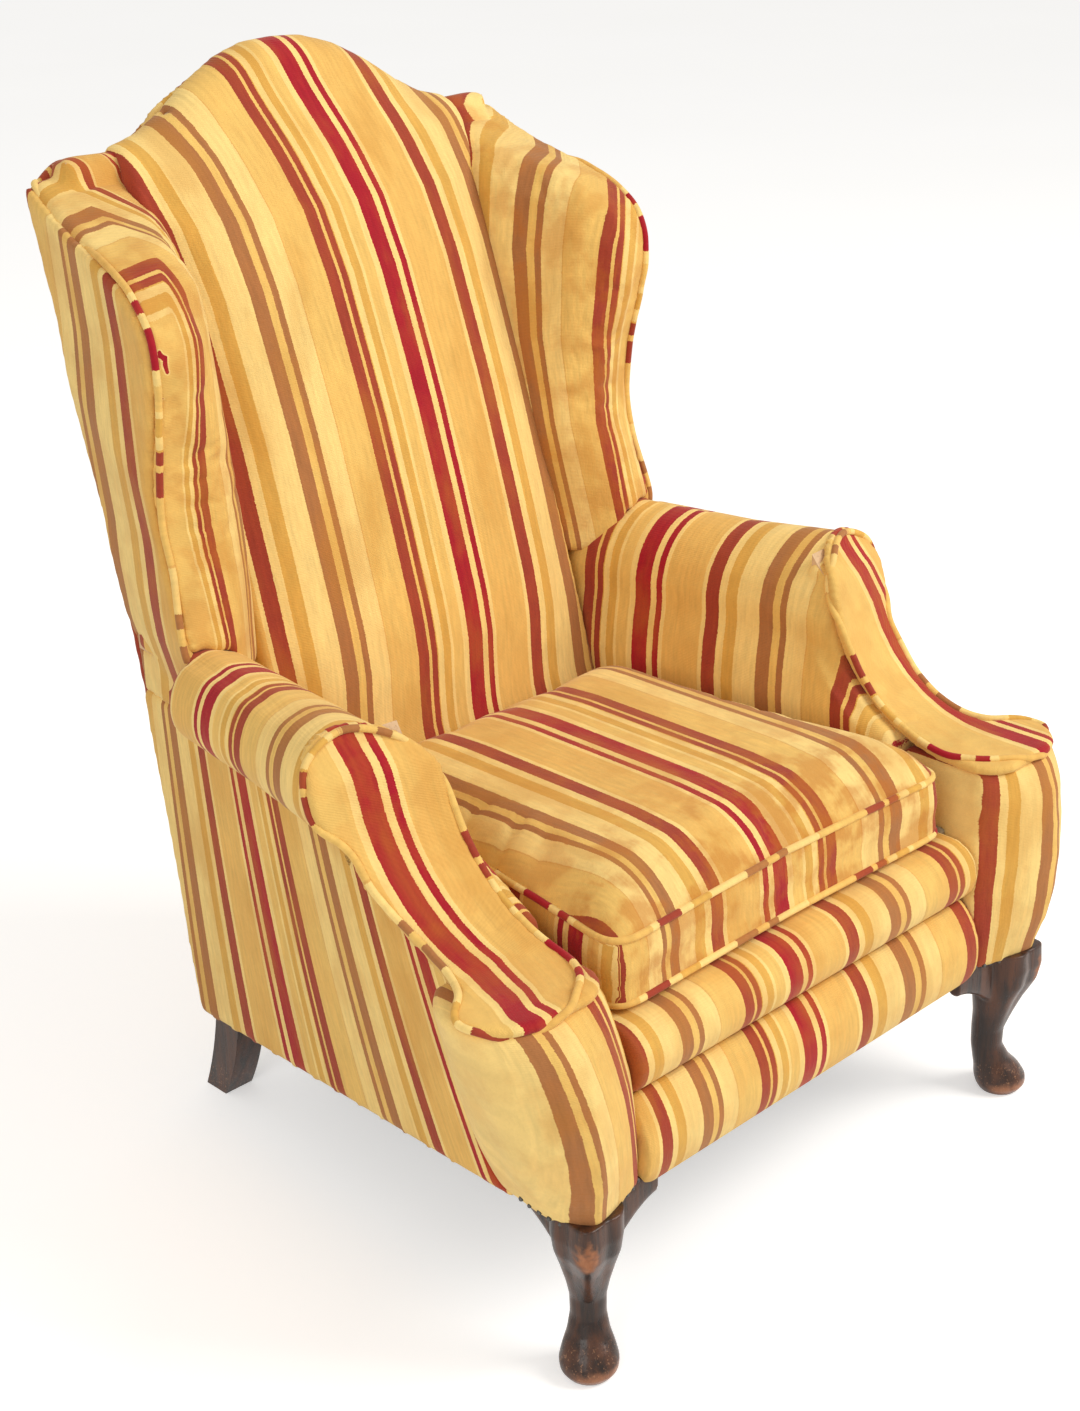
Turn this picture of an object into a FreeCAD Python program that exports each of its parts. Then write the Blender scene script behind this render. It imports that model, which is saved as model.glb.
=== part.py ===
import FreeCAD, Part
import math
import os

# Wingback armchair. Millimetres, +Z up, front towards -Y, the middle plane at X = 0,
# origin on the floor at the middle of the chair's outer box.
# Every side piece is built for the +X side and mirrored for the other.

V = FreeCAD.Vector

# Seat frame
rail_base = 146.0          # lower edge of the rails above the floor, at y = 0
seat_slope = 0.098         # rise of the rails towards the front, per millimetre
rail_height = 80.0
rail_thick = 28.0
side_mid = 312.4           # outer face of the side rails from the middle plane, at y = 0
splay = 5.6                # degrees by which the sides open towards the front
front_rail_face = -368.0
block_size = 52.0          # square block at the head of the front leg
block_x = 318.0
block_y = -366.0
corner_block_leg = 62.0
corner_block_thick = 34.0
screw_shank = 4.5
screw_head = 9.0
screw_head_thick = 2.0
screw_length = 46.0

# Cabriole leg: height, throw along the diagonal and radius at each station
foot_radius = 29.0
foot_height = 34.0
foot_throw = 30.0
sole_radius = 22.0
ankle_radius = 18.5
ankle_height = 58.0
ankle_throw = 13.0
knee_radius = 33.0
knee_height = 150.0
knee_throw = 27.0
ear_length = 40.0
ear_drop = 46.0
ear_thick = 26.0

# Rear uprights, legs below and back posts above
upright_face = 290.0
upright_width = 38.0
upright_depth = 40.0
upright_top_depth = 28.0
upright_height = 1000.0
rear_leg_sweep = 34.0
leg_top = 124.0
back_rake = 9.3            # degrees
back_skin_y = 261.7        # rear face of the outside back at the height leg_top
skin = 8.0                 # padded cover of the outside panels

# Arm frame
arm_board_in = -14.0       # inner face of the arm timbers, from the side plane
arm_board_thick = 24.0
post_front = -116.0
post_thick = 30.0
scroll_radius = 44.0
scroll_height = 548.0
scroll_out = 56.0
arm_rail_top = 572.0
arm_rail_thick = 24.0
arm_rail_out = 52.0        # outer edge at the post, from the side plane
arm_rail_back_out = 22.0   # outer edge under the wing
tack_rail_bottom = 300.0
tack_rail_height = 40.0
tack_rail_thick = 22.0

# Hollow sweep of the facings, seen from the side
sweep_radius = 181.0
sweep_bottom_y = -340.0
sweep_bottom_z = 411.0
sweep_head_y = -163.0
sweep_head_z = 552.0
arm_top_y = -128.0
arm_top_z = 603.0
toe_y = -390.0
facing_thick = 8.0
sweep_inner = 297.0        # inner seam of the facing, from the middle plane
sweep_turn = 0.28          # turn of the facing towards its outer edge, per millimetre across

# Arm roll, looking along the chair: a section at the front, the middle and the back
arm_sections = (-135.0, 20.0, 235.0)
arm_inner_low = (268.0, 247.0, 226.0)
arm_inner_high = (296.0, 276.0, 252.0)
arm_ridge = (376.0, 350.0, 318.0)
arm_tip = (424.0, 394.0, 364.0)
arm_under = (404.0, 374.0, 342.0)
arm_outer_low = (335.0, 320.0, 299.0)
arm_tops = (603.0, 598.0, 596.0)
arm_low = 336.0
arm_nose = 125.0           # reach of the inside arm in front of its first section
arm_tip_z = 548.0
arm_under_z = 506.0
arm_outside_top = 500.0    # seam between the outside arm and the outside wing

# Wings
wing_pivot_x = 292.0
wing_pivot_y = 400.0
wing_splay = 7.6           # degrees
wing_board = 22.0
wing_board_width = 44.0
wing_cover = 18.0
wing_seam = 23.0           # plane of the piped seam, from the wing's own middle plane
wing_front_y = 170.0       # where the outside wing's front edge is measured
nose_x = 297.0             # inner side of the wing's rolled front
back_half_top = 320.0      # half width of the outside back above the arms
wing_foot = 590.0

# Back
crest_top = 1150.0
crest_thick = 26.0
back_half = 232.0
back_foot_y = 150.0        # face of the inside back at its sides, at the height back_foot_z
back_foot_z = 405.0
back_pitch = 0.312         # lean of the inside back, per millimetre of height
back_crown = 10.0
back_edge = 26.0           # rounding at the top of the inside back
back_low = 338.0
back_rail_bottom = 318.0
back_rail_height = 44.0

# Front rolls
border_low = 172.0
border_turn = 20.0         # depth of the border's underside
crease_z = 270.0
border_bulge = 30.0
lip_bulge = 22.0
lip_top = 336.5
lip_depth = 76.0
roll_half = 268.0

# Seat
deck_top = 336.5
canvas_z = 292.0
canvas_thick = 1.5
web_width = 50.0
web_thick = 2.4
web_count = 5
bottom_cloth = 1.0
spring_radius = 38.0
spring_waist = 24.0
spring_wall = 1.0
spring_grid = (-140.0, 0.0, 140.0)
spring_pitch_y = 135.0

# Loose cushion
cushion_front = -356.0
cushion_front_half = 262.0
cushion_back_half = 222.0
cushion_bottom = 337.0
cushion_low_seam = 344.0
cushion_top_seam = 413.0
cushion_crown = 455.0
cushion_gap = 0.5          # between the cushion and the inside back
cushion_pull = 5.0         # how far the sides draw in between the corners
cushion_corner = 24.0
cover_thick = 2.5
piping = 4.0               # radius of the covered cord


def level(z):
    """Places plan points (x, y) at a height."""
    return lambda x, y: V(x, y, z)


def side_view(x):
    """Places points of a side view (y, z) at a distance from the middle."""
    return lambda y, z: V(x, y, z)


def front_view(y):
    """Places points of a front view (x, z) at a depth."""
    return lambda x, z: V(x, y, z)


def outline(place, start, *steps):
    """Closed wire of straight steps (end,) and arcs (middle, end)."""
    edges = []
    here = place(*start)
    for step in steps + ((start,),):
        there = place(*step[-1])
        if here.distanceToPoint(there) < 1e-6:
            continue
        if len(step) == 1:
            edges.append(Part.LineSegment(here, there).toShape())
        else:
            edges.append(Part.Arc(here, place(*step[0]), there).toShape())
        here = there
    return Part.Wire(edges)


def corner_arc(start, corner, end):
    """Arc that leaves start and reaches end along the two legs of an even corner."""
    middle = (start + end) * 0.5
    half = start.distanceToPoint(end) / 2
    cosine = half / start.distanceToPoint(corner)
    return Part.Arc(start, middle + (corner - middle) * (cosine / (1 + cosine)), end).toShape()


def biarc(p1, t1, p2, t2):
    """Two arcs, or one straight edge, that join two points along two directions."""
    gap = p2 - p1
    both = t1 + t2
    bend = 2 * (1 - t1.dot(t2))
    if (t1.cross(gap)).Length + (t2.cross(gap)).Length < 1e-6 * gap.Length:
        return [Part.LineSegment(p1, p2).toShape()]
    lean = gap.dot(both)
    if bend < 1e-9:
        reach = gap.dot(gap) / (2 * lean)
    else:
        reach = (math.sqrt(lean * lean + bend * gap.dot(gap)) - lean) / bend
    first = p1 + t1 * reach
    second = p2 - t2 * reach
    joint = (first + second) * 0.5
    return [corner_arc(p1, first, joint), corner_arc(joint, second, p2)]


def smooth(place, nodes, closed=False):
    """Smooth edges through nodes, each a point and a direction in the same view."""
    points = [place(*point) for point, heading in nodes]
    headings = []
    for point, heading in nodes:
        ahead = place(point[0] + heading[0], point[1] + heading[1]) - place(*point)
        headings.append(ahead.normalize())
    edges = []
    last = len(nodes) if closed else len(nodes) - 1
    for i in range(last):
        j = (i + 1) % len(nodes)
        edges += biarc(points[i], headings[i], points[j], headings[j])
    return edges


def closed_by(edges, *corners):
    """Wire of smooth edges, closed through the given corners."""
    end = edges[-1].Vertexes[-1].Point
    start = edges[0].Vertexes[0].Point
    chain = list(edges)
    for corner in corners + (start,):
        if end.distanceToPoint(corner) > 1e-6:
            chain.append(Part.LineSegment(end, corner).toShape())
        end = corner
    return Part.Wire(chain)


def prism(wire, along):
    return Part.Face(wire).extrude(along)


def loop(points):
    return Part.makePolygon(points + points[:1])


def corners(wire, runs):
    """Points round an outline, with each of its arcs in short runs."""
    points = []
    for edge in wire.OrderedEdges:
        straight = edge.Curve.TypeId == "Part::GeomLine"
        count = 1 if straight else runs
        first, last = edge.FirstParameter, edge.LastParameter
        for i in range(count):
            points.append(edge.valueAt(first + (last - first) * i / count))
    return points


def layered(rings):
    """Solid through rings of points, with flat faces from each ring to the next."""
    faces = [Part.Face(loop(rings[0])), Part.Face(loop(rings[-1]))]
    for below, above in zip(rings, rings[1:]):
        for i, a in enumerate(below):
            j = (i + 1) % len(below)
            b, c, d = below[j], above[j], above[i]
            if abs((b - a).cross(c - a).dot(d - a)) < 1e-3:
                patches = [[a, b, c, d]]
            elif a.distanceToPoint(c) < b.distanceToPoint(d):
                patches = [[a, b, c], [a, c, d]]
            else:
                patches = [[a, b, d], [b, c, d]]
            faces += [Part.Face(loop(patch)) for patch in patches]
    solid = Part.Solid(Part.makeShell(faces))
    return solid if solid.Volume > 0 else solid.reversed()


def stepped(edges, runs):
    """Points along smooth edges, with each edge in the same number of short runs."""
    points = []
    for edge in edges:
        first, last = edge.FirstParameter, edge.LastParameter
        for i in range(runs):
            points.append(edge.valueAt(first + (last - first) * i / runs))
    points.append(edges[-1].valueAt(edges[-1].LastParameter))
    return points


def short_runs(edges, runs):
    """Smooth edges as short straight ones."""
    points = stepped(edges, runs)
    return [Part.LineSegment(here, there).toShape() for here, there in zip(points, points[1:])]


def ring(centre, heading, radius, sides):
    """Points evenly round a centre, square to a heading."""
    side = heading.cross(V(0.3, 0.5, 0.8)).normalize() * radius
    points = []
    for i in range(sides):
        points.append(centre + FreeCAD.Rotation(heading, 360 * i / sides).multVec(side))
    return points


def welt(points, radius):
    """Six-sided cord through the points of a path."""
    rings = []
    for i, point in enumerate(points):
        before = points[max(i - 1, 0)]
        after = points[min(i + 1, len(points) - 1)]
        rings.append(ring(point, (after - before).normalize(), radius, 6))
    return layered(rings)


def filled(stations, runs):
    """Stations with more between them along a smooth curve."""
    ends = [stations[0]] + list(stations) + [stations[-1]]
    more = []
    for a, b, c, d in zip(ends, ends[1:], ends[2:], ends[3:]):
        for i in range(runs):
            t = i / runs
            more.append([0.5 * (2 * q + (r - p) * t + (2 * p - 5 * q + 4 * r - s) * t * t
                                + (3 * q - p - 3 * r + s) * t ** 3) for p, q, r, s in zip(a, b, c, d)])
    return more + [list(stations[-1])]


def box(x0, x1, y0, y1, z0, z1):
    return Part.makeBox(x1 - x0, y1 - y0, z1 - z0, V(x0, y0, z0))


def largest(shape):
    """The main solid that a cut leaves."""
    return max(shape.Solids, key=lambda solid: solid.Volume)


def fitted(shape, *neighbours):
    """A piece trimmed to the faces of the pieces that it meets."""
    near = [other for other in neighbours if shape.BoundBox.intersect(other.BoundBox)]
    return largest(shape.cut(near)) if near else largest(shape)


def mirrored(shape):
    return shape.mirror(V(0, 0, 0), V(1, 0, 0))


def splayed(shape):
    """Turns a piece built along the Y axis into the opened side of the chair."""
    return shape.rotated(V(side_mid, 0, 0), V(0, 0, 1), splay)


def wing_turned(shape):
    """Turns a piece built along the Y axis into the plane of the wing."""
    return shape.rotated(V(wing_pivot_x, wing_pivot_y, 0), V(0, 0, 1), wing_splay)


def raked(shape):
    """Leans an upright piece by the rake of the back."""
    return shape.rotated(V(0, back_skin_y, leg_top), V(1, 0, 0), -back_rake)


def rail_low(y):
    return rail_base - seat_slope * y


def back_skin(z):
    return back_skin_y + (z - leg_top) * math.tan(math.radians(back_rake))


def back_frame(z):
    """Rear face of the back's timbers, in front of the outside back."""
    return back_skin(z) - skin / math.cos(math.radians(back_rake))


def inside_back_face(z):
    return back_foot_y + (z - back_foot_z) * back_pitch


def crest_height(x):
    """Top of the back: a hump that falls to low shoulders."""
    hump_half = 232.0
    shoulder_drop = 88.0
    share = min(abs(x) / hump_half, 1.0)
    return crest_top - shoulder_drop * (0.5 - 0.5 * math.cos(math.pi * share ** 1.25))


def sloped_band(x0, x1, y0, y1, low, high):
    """Slab that lies in the slope of the seat frame, between two heights over its lower edge."""
    wire = outline(side_view(x0), (y0, rail_low(y0) + low), ((y1, rail_low(y1) + low),),
                   ((y1, rail_low(y1) + high),), ((y0, rail_low(y0) + high),))
    return prism(wire, V(x1 - x0, 0, 0))


def sweep_edges(place, drop):
    """Side view of the facing from the arm's top to the toe, lowered by drop along its normal."""
    centre_y = sweep_bottom_y
    centre_z = sweep_bottom_z + sweep_radius
    reach = sweep_radius + drop
    angle = math.atan2(sweep_head_z - centre_z, sweep_head_y - centre_y)
    head = (centre_y + reach * math.cos(angle), centre_z + reach * math.sin(angle))
    head_way = (math.sin(angle), -math.cos(angle))
    top = (arm_top_y + drop * 0.9, arm_top_z + 1)
    foot = (centre_y, centre_z - reach)
    toe = (toe_y, sweep_bottom_z - drop)
    nodes = [(top, (-0.45, -0.9)), (head, head_way), (foot, (-1, 0)), (toe, (-1, 0))]
    return short_runs(smooth(place, nodes), 4)


def above_sweep(drop):
    """Space in front of and above the facing's surface, which turns back towards its outer edge."""
    shift = -sweep_turn * sweep_inner

    def place(y, z):
        return V(0, y + shift, z)

    edges = sweep_edges(place, drop)
    start = edges[0].Vertexes[0].Point
    wire = closed_by(edges, place(-900, sweep_bottom_z - drop), place(-900, arm_top_z + 99),
                     V(0, start.y, arm_top_z + 99))
    return prism(wire, V(600, 600 * sweep_turn, 0))


def front_leg():
    """Cabriole leg: pad foot, ankle and knee lofted along the diagonal, under a square block."""
    diagonal = math.sqrt(0.5)
    stations = [
        (0.0, foot_throw, sole_radius),
        (foot_height * 0.25, foot_throw, foot_radius - 1.5),
        (foot_height * 0.5, foot_throw, foot_radius),
        (foot_height * 0.85, foot_throw - 4, foot_radius - 3.5),
        (foot_height * 1.2, ankle_throw + 6, ankle_radius + 3),
        (ankle_height, ankle_throw, ankle_radius),
        (ankle_height + 22, ankle_throw, ankle_radius + 0.5),
        (knee_height - 50, ankle_throw + 3, ankle_radius + 3.5),
        (knee_height - 28, knee_throw - 7, knee_radius - 6),
        (knee_height - 6, knee_throw - 1, knee_radius - 1),
        (knee_height + 14, knee_throw, knee_radius + 1),
        (rail_low(block_y), knee_throw - 3, knee_radius + 1),
    ]
    rings = []
    for height, throw, radius in filled(stations, 2):
        centre = V(block_x + throw * diagonal, block_y - throw * diagonal, height)
        rings.append(ring(centre, V(0, 0, 1), radius, 24))
    half = block_size / 2
    low = rail_low(block_y) - 18
    high = rail_low(front_rail_face) + rail_height
    block = box(block_x - half, block_x + half, block_y - half, block_y + half, low, high)
    return layered(rings).fuse(block)


def knee_ears(leg):
    """The two shaped brackets glued beside the knee, under the rails."""
    half = block_size / 2
    high = rail_low(block_y)
    ears = []
    x_in = block_x - half
    front = block_y - half
    top = high - 0.5
    wire = outline(front_view(front), (x_in + 14, top), ((x_in - ear_length, top),),
                   ((x_in - ear_length * 0.45, top - ear_drop * 0.38), (x_in + 14, top - ear_drop)))
    ears.append(prism(wire, V(0, ear_thick, 0)).cut(leg))
    y_in = block_y + half
    outer = block_x + half
    wire = outline(side_view(outer), (y_in - 14, top), ((y_in + ear_length, top),),
                   ((y_in + ear_length * 0.45, top - ear_drop * 0.38), (y_in - 14, top - ear_drop)))
    side = prism(wire, V(-ear_thick, 0, 0))
    ears.append(side.cut([leg, sloped_band(0, 600, -400, 0, -2, 99)]))
    return Part.makeCompound([largest(ear) for ear in ears])


def upright():
    """Rear leg and back post in one raked piece, square below and thinner at the top."""
    lean = math.tan(math.radians(back_rake))
    back = back_frame(leg_top)
    top_back = back + (upright_height - leg_top) * lean
    sole = back + rear_leg_sweep
    wire = outline(
        side_view(upright_face - upright_width),
        (sole, 0), ((back + rear_leg_sweep * 0.32, leg_top * 0.55), (back, leg_top)),
        ((top_back, upright_height),),
        ((top_back - upright_top_depth, upright_height),),
        ((back - upright_depth, leg_top),),
        ((back - upright_depth + rear_leg_sweep * 0.3, leg_top * 0.55),
         (sole - upright_depth + 4, 0)))
    return prism(wire, V(upright_width, 0, 0))


def arm_post():
    """Board behind the facing, with a round head that carries the arm's roll."""
    x = side_mid
    low = rail_low(post_front)
    neck = arm_board_in + arm_board_thick
    wire = outline(
        front_view(post_front),
        (x + arm_board_in, low + rail_height),
        ((x + arm_board_in, scroll_height),),
        ((x + arm_board_in + scroll_radius * 0.42, scroll_height + scroll_radius * 0.72),
         (x + scroll_out - scroll_radius * 0.5, scroll_height + scroll_radius * 0.87)),
        ((x + scroll_out + scroll_radius * 0.71, scroll_height + scroll_radius * 0.5),
         (x + scroll_out + scroll_radius * 0.5, scroll_height - scroll_radius * 0.6)),
        ((x + neck + 16, scroll_height - scroll_radius * 0.8), (x + neck, scroll_height - 80)),
        ((x + neck, low + rail_height),))
    return splayed(prism(wire, V(0, post_thick, 0)))


def sweep_board():
    """Plank from the arm post to the front leg, its top edge cut to the hollow sweep."""
    edges = sweep_edges(side_view(side_mid + arm_board_in), facing_thick + 12)
    low = side_view(side_mid + arm_board_in)
    wire = closed_by(edges, low(toe_y, sweep_bottom_z - 40), low(block_y - block_size / 2, 300),
                     low(block_y - block_size / 2, rail_low(block_y)),
                     low(post_front + post_thick, rail_low(post_front)),
                     low(post_front + post_thick, arm_top_z))
    board = prism(wire, V(arm_board_thick, 0, 0))
    board = board.common(box(0, 600, -600, post_front, 0, 900))
    return splayed(board)


def wing_curve(place, out):
    """Front edge of the wing in side view, moved outwards by out: waist, ear and falling top."""
    nodes = [
        ((157 - out, wing_foot), (0.3, 1)),
        ((193 - out, 735), (0, 1)),
        ((167 - out, 893), (-0.05, 1)),
        ((214 - out * 0.6, 964 + out * 0.8), (0.85, 0.42)),
        ((300 - out * 0.2, 996 + out), (1, 0.3)),
        ((432, 1056 + out), (0.9, 0.5)),
    ]
    return short_runs(smooth(place, nodes), 3)


def wing_slab(inner, outer, out, low):
    """Slice of the wing between two planes, in the wing's own direction."""
    edges = wing_curve(side_view(wing_pivot_x + inner), out)
    place = side_view(wing_pivot_x + inner)
    end = edges[-1].Vertexes[-1].Point
    start = edges[0].Vertexes[0].Point
    wire = closed_by(edges, V(end.x, end.y + 40, end.z), place(end.y + 40, low), place(start.y, low))
    return prism(wire, V(outer - inner, 0, 0))


def wing_skin(depth, reach):
    """Space from depth below the outside wing's surface to reach beyond it."""
    sections = []
    for z, front, rear in ((440, 325, 298), (arm_outside_top, 327, 299), (wing_foot, 346, 304),
                           (700, 350, 308), (900, 354, 318), (1070, 353, 325)):
        slope = (rear - front) / (back_skin(z) - wing_front_y)
        near = front - 70 * slope
        far = front + 310 * slope
        front_edge, rear_edge = wing_front_y - 70, wing_front_y + 310
        sections.append([V(near - depth, front_edge, z), V(near + reach, front_edge, z),
                         V(far + reach, rear_edge, z), V(far - depth, rear_edge, z)])
    return layered(sections)


def wing_space():
    """Room that the inside wing fills, from its rolled front to the side of the inside back."""
    sections = []
    for z, nose_y, junction_y in ((wing_foot, 150, 205), (crest_top, 205, 362)):
        sections.append([V(nose_x, nose_y - 90, z), V(nose_x, nose_y, z), V(back_half, junction_y, z),
                         V(back_half, 480, z), V(400, 480, z), V(400, nose_y - 90, z)])
    return layered(sections)


def behind_back(reach):
    """Space behind the timbers of the back, moved back by reach."""
    wire = outline(side_view(-600), (back_frame(0) + reach, 0),
                   ((back_frame(1400) + reach, 1400),), ((900, 1400),), ((900, 0),))
    return prism(wire, V(1200, 0, 0))


def wing_frame(post):
    """Curved front post of the wing, or the top rail from it to the upright."""
    half = wing_board / 2
    outer = wing_slab(-half, half, -wing_cover, wing_foot - 40)
    inner = wing_slab(-half - 1, half + 1, -wing_cover - wing_board_width, wing_foot - 60)
    ring = outer.cut(inner)
    split = 905.0
    if post:
        piece = ring.common(box(0, 600, 0, 330, arm_rail_top, split))
    else:
        piece = ring.common(box(0, 600, 0, 900, split, 1300))
    return wing_turned(largest(piece))


def camel_wire(place, half, low_half, low, drop):
    """Front view of the back with its camel top, narrowed to low_half beside the arms."""
    shoulder = crest_height(half) - drop
    flat = crest_height(232.0) - drop
    nodes = [((-half, shoulder), (1, 0.02)), ((-218, flat), (1, 0.12)), ((-128, crest_height(128) - drop), (0.9, 0.42)),
             ((0, crest_top - drop), (1, 0)), ((128, crest_height(128) - drop), (0.9, -0.42)),
             ((218, flat), (1, -0.12)), ((half, shoulder), (1, -0.02))]
    edges = short_runs(smooth(place, nodes), 3)
    waist = max(arm_outside_top, low)
    return closed_by(edges, place(low_half, waist), place(low_half, low), place(-low_half, low),
                     place(-low_half, waist))


def crest_rail():
    """Camel-back board that joins the heads of the uprights."""
    y = back_skin_y - skin - crest_thick
    lean = math.cos(math.radians(back_rake))
    low = leg_top + (upright_height - leg_top) / lean
    wire = camel_wire(front_view(y), upright_face, upright_face, low, -leg_top * (1 / lean - 1) + 14 - 1026 * (1 / lean - 1))
    return raked(prism(wire, V(0, crest_thick, 0)))


def outside_back():
    """Flat padded panel that closes the back."""
    y = back_skin_y - skin
    lean = 1 / math.cos(math.radians(back_rake)) - 1
    wire = camel_wire(front_view(y), back_half_top, upright_face + skin, leg_top, 8 - 1026 * lean)
    return raked(prism(wire, V(0, skin, 0)))


def inside_back():
    """Reclined pad with a crown across its width and a soft camel-shaped top."""
    sections = []
    strips = 12
    for i in range(strips + 1):
        share = 2 * i / strips - 1
        x = back_half * share
        crown = back_crown * (1 - share * share)
        top = crest_height(x)
        edge_z = top - back_edge
        rear = back_skin(edge_z) - skin
        face = inside_back_face(edge_z) - crown * 0.5
        middle_z = (back_low + edge_z) / 2
        place = side_view(x)
        section = outline(
            place, (inside_back_face(back_low) - crown, back_low),
            ((inside_back_face(middle_z) - crown - 6, middle_z), (face, edge_z)),
            ((face + 0.3 * (rear - face), edge_z + 0.74 * back_edge), (rear - 8, top)),
            ((rear, top - 6),),
            ((back_skin(back_low) - skin, back_low),))
        sections.append(corners(section, 5))
    return layered(sections)


def arm_pad(nose_length):
    """Inside arm and its roll, one padded form lofted from the wing to the facing."""
    sections = []
    for i, y in enumerate(arm_sections):
        low, high, ridge, tip = arm_inner_low[i], arm_inner_high[i], arm_ridge[i], arm_tip[i]
        under, outer, top = arm_under[i], arm_outer_low[i], arm_tops[i]
        section = outline(
            front_view(y), (low, arm_low),
            ((low + 2, (arm_low + 500) / 2), (high - 6, 500)),
            ((high + 14, top - 36), (ridge, top)),
            ((tip - 14, top - 17), (tip, arm_tip_z)),
            ((tip - 6, arm_under_z + 14), (under, arm_under_z)),
            ((outer, arm_under_z - 10),),
            ((outer, arm_low),))
        sections.append(corners(section, 5))
    nose = [point + V(0, -nose_length, 0) for point in sections[0]]
    return layered([nose] + sections)


def facing():
    """Padded panel that follows the hollow sweep, with a scroll head and a rounded toe."""
    upper = above_sweep(facing_thick)
    lower = above_sweep(0)
    band = upper.cut(lower)
    plan = outline(
        level(300), (297, -60), ((297, -330),),
        ((306, -374), (345, -386)), ((372, -387),),
        ((424, -370), (442, -338)), ((430, -316), (404, -298)),
        ((392, -240), (402, -176)), ((404, -150),), ((433, -150),), ((433, -60),))
    band = band.common(prism(plan, V(0, 0, 400)))
    head = outline(
        front_view(-600), (292, 300), ((292, 520),),
        ((305, arm_top_z - 32), (376, arm_top_z)), ((412, arm_top_z - 17), (424, arm_tip_z)),
        ((419, 520), (400, 506)), ((460, 480),), ((460, 300),))
    return largest(band.common(prism(head, V(0, 560, 0))))


def front_pad():
    """Padded front of the arm below the facing, swelling from the knee to the toe."""
    low = rail_low(block_y) - 1
    top = sweep_bottom_z - facing_thick
    stations = (
        (low, 272, 348, 366, -390, -406, -330),
        (low + 50, 270, 356, 388, -386, -424, -328),
        (low + 120, 272, 362, 412, -380, -428, -330),
        (top - 30, 290, 366, 432, -374, -412, -332),
        (top, 297, 366, 440, -366, -388, -332),
    )
    sections = []
    for z, inner, toe, outer, inner_front, front, outer_y in filled(stations, 2):
        back = outer_y + 70
        section = outline(
            level(z), (inner, back), ((inner, inner_front),),
            (((inner + toe) / 2, (inner_front + 2 * front) / 3), (toe, front)),
            ((toe + 0.72 * (outer - toe), front + 0.28 * (outer_y - front)), (outer, outer_y)),
            ((outer - 6, (outer_y + back) / 2), (outer - 38, back)))
        sections.append(corners(section, 5))
    return layered(sections)


def border_roll():
    """Stuffed border over the front rail, turned under at its lower edge."""
    wire = outline(side_view(-roll_half), (front_rail_face, border_low), ((front_rail_face - border_turn, border_low),),
                   ((front_rail_face - border_bulge, (border_low + crease_z) / 2), (front_rail_face, crease_z)))
    return prism(wire, V(2 * roll_half, 0, 0))


def lip_roll():
    """Stuffed roll above the border, under the front of the cushion."""
    back = front_rail_face + lip_depth
    wire = outline(side_view(-roll_half), (front_rail_face, crease_z),
                   ((front_rail_face - lip_bulge, (crease_z + lip_top) / 2 + 2), (front_rail_face + 10, lip_top)),
                   ((back, lip_top),), ((back, crease_z),))
    return prism(wire, V(2 * roll_half, 0, 0))


def cushion_loop(z, inset):
    """Plan of the cushion at a height: drawn-in sides between round corners, all tangent."""
    front = cushion_front + inset
    back = inside_back_face(cushion_bottom) - back_crown - cushion_gap - inset
    half_f = cushion_front_half - inset
    half_b = cushion_back_half - inset
    cut = cushion_corner
    lean = (half_f - half_b) / (back - front)
    place = level(z)
    front_tilt = 4 * cushion_pull / (2 * (half_f - cut))
    side_tilt = 4 * cushion_pull / (back - front - 2 * cut)
    right = [
        ((half_f - cut, front), (1, -front_tilt)),
        ((half_f - lean * cut, front + cut), (-lean - side_tilt, 1)),
        ((half_b + lean * cut, back - cut), (-lean + side_tilt, 1)),
        ((half_b - cut, back), (-1, front_tilt)),
    ]
    left = [((-x, y), (dx, -dy)) for (x, y), (dx, dy) in reversed(right)]
    ring = left + right
    edges = []
    for i, (point, heading) in enumerate(ring):
        after, after_heading = ring[(i + 1) % len(ring)]
        start = place(*point)
        end = place(*after)
        if i % 2:
            across = end - start
            inward = V(-across.y, across.x, 0).normalize() * cushion_pull
            edges.append(Part.Arc(start, (start + end) * 0.5 + inward, end).toShape())
        else:
            edges += biarc(start, V(*heading, 0).normalize(), end, V(*after_heading, 0).normalize())
    return stepped(edges, 4)[:-1]


def cushion_form(shrink):
    """Cushion lofted through its plans, from the flat bottom to the crown."""
    levels = (
        (cushion_bottom + shrink, 16 + shrink),
        (cushion_low_seam + shrink * 0.5, 2 + shrink),
        ((cushion_low_seam + cushion_top_seam) / 2, -3 + shrink),
        (cushion_top_seam - shrink * 0.5, 2 + shrink),
        (cushion_top_seam + 0.5 * (cushion_crown - cushion_top_seam), 24 + shrink),
        (cushion_top_seam + 0.84 * (cushion_crown - cushion_top_seam), 62 + shrink),
        (cushion_crown - shrink, 122 + shrink),
    )
    return layered([cushion_loop(z, inset) for z, inset in levels])


def spring(x, y, low, high):
    """One coil spring as the thin waisted sleeve that its wire winds round."""
    sleeves = []
    for inset in (0, spring_wall):
        stations = ((low, spring_radius), ((low + high) / 2, spring_waist), (high, spring_radius))
        sleeves.append(layered([ring(V(x, y, z), V(0, 0, 1), radius - inset, 10) for z, radius in stations]))
    return sleeves[0].cut(sleeves[1])


parts = {}


def add(name, shape):
    parts[name] = shape


def add_pair(name, shape):
    add(name + "_right", shape)
    add(name + "_left", mirrored(shape))


# Timber of the seat
leg = front_leg()
post = upright()
add_pair("front_leg", leg)
add_pair("knee_brackets", knee_ears(leg))
add_pair("back_upright", post)

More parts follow.
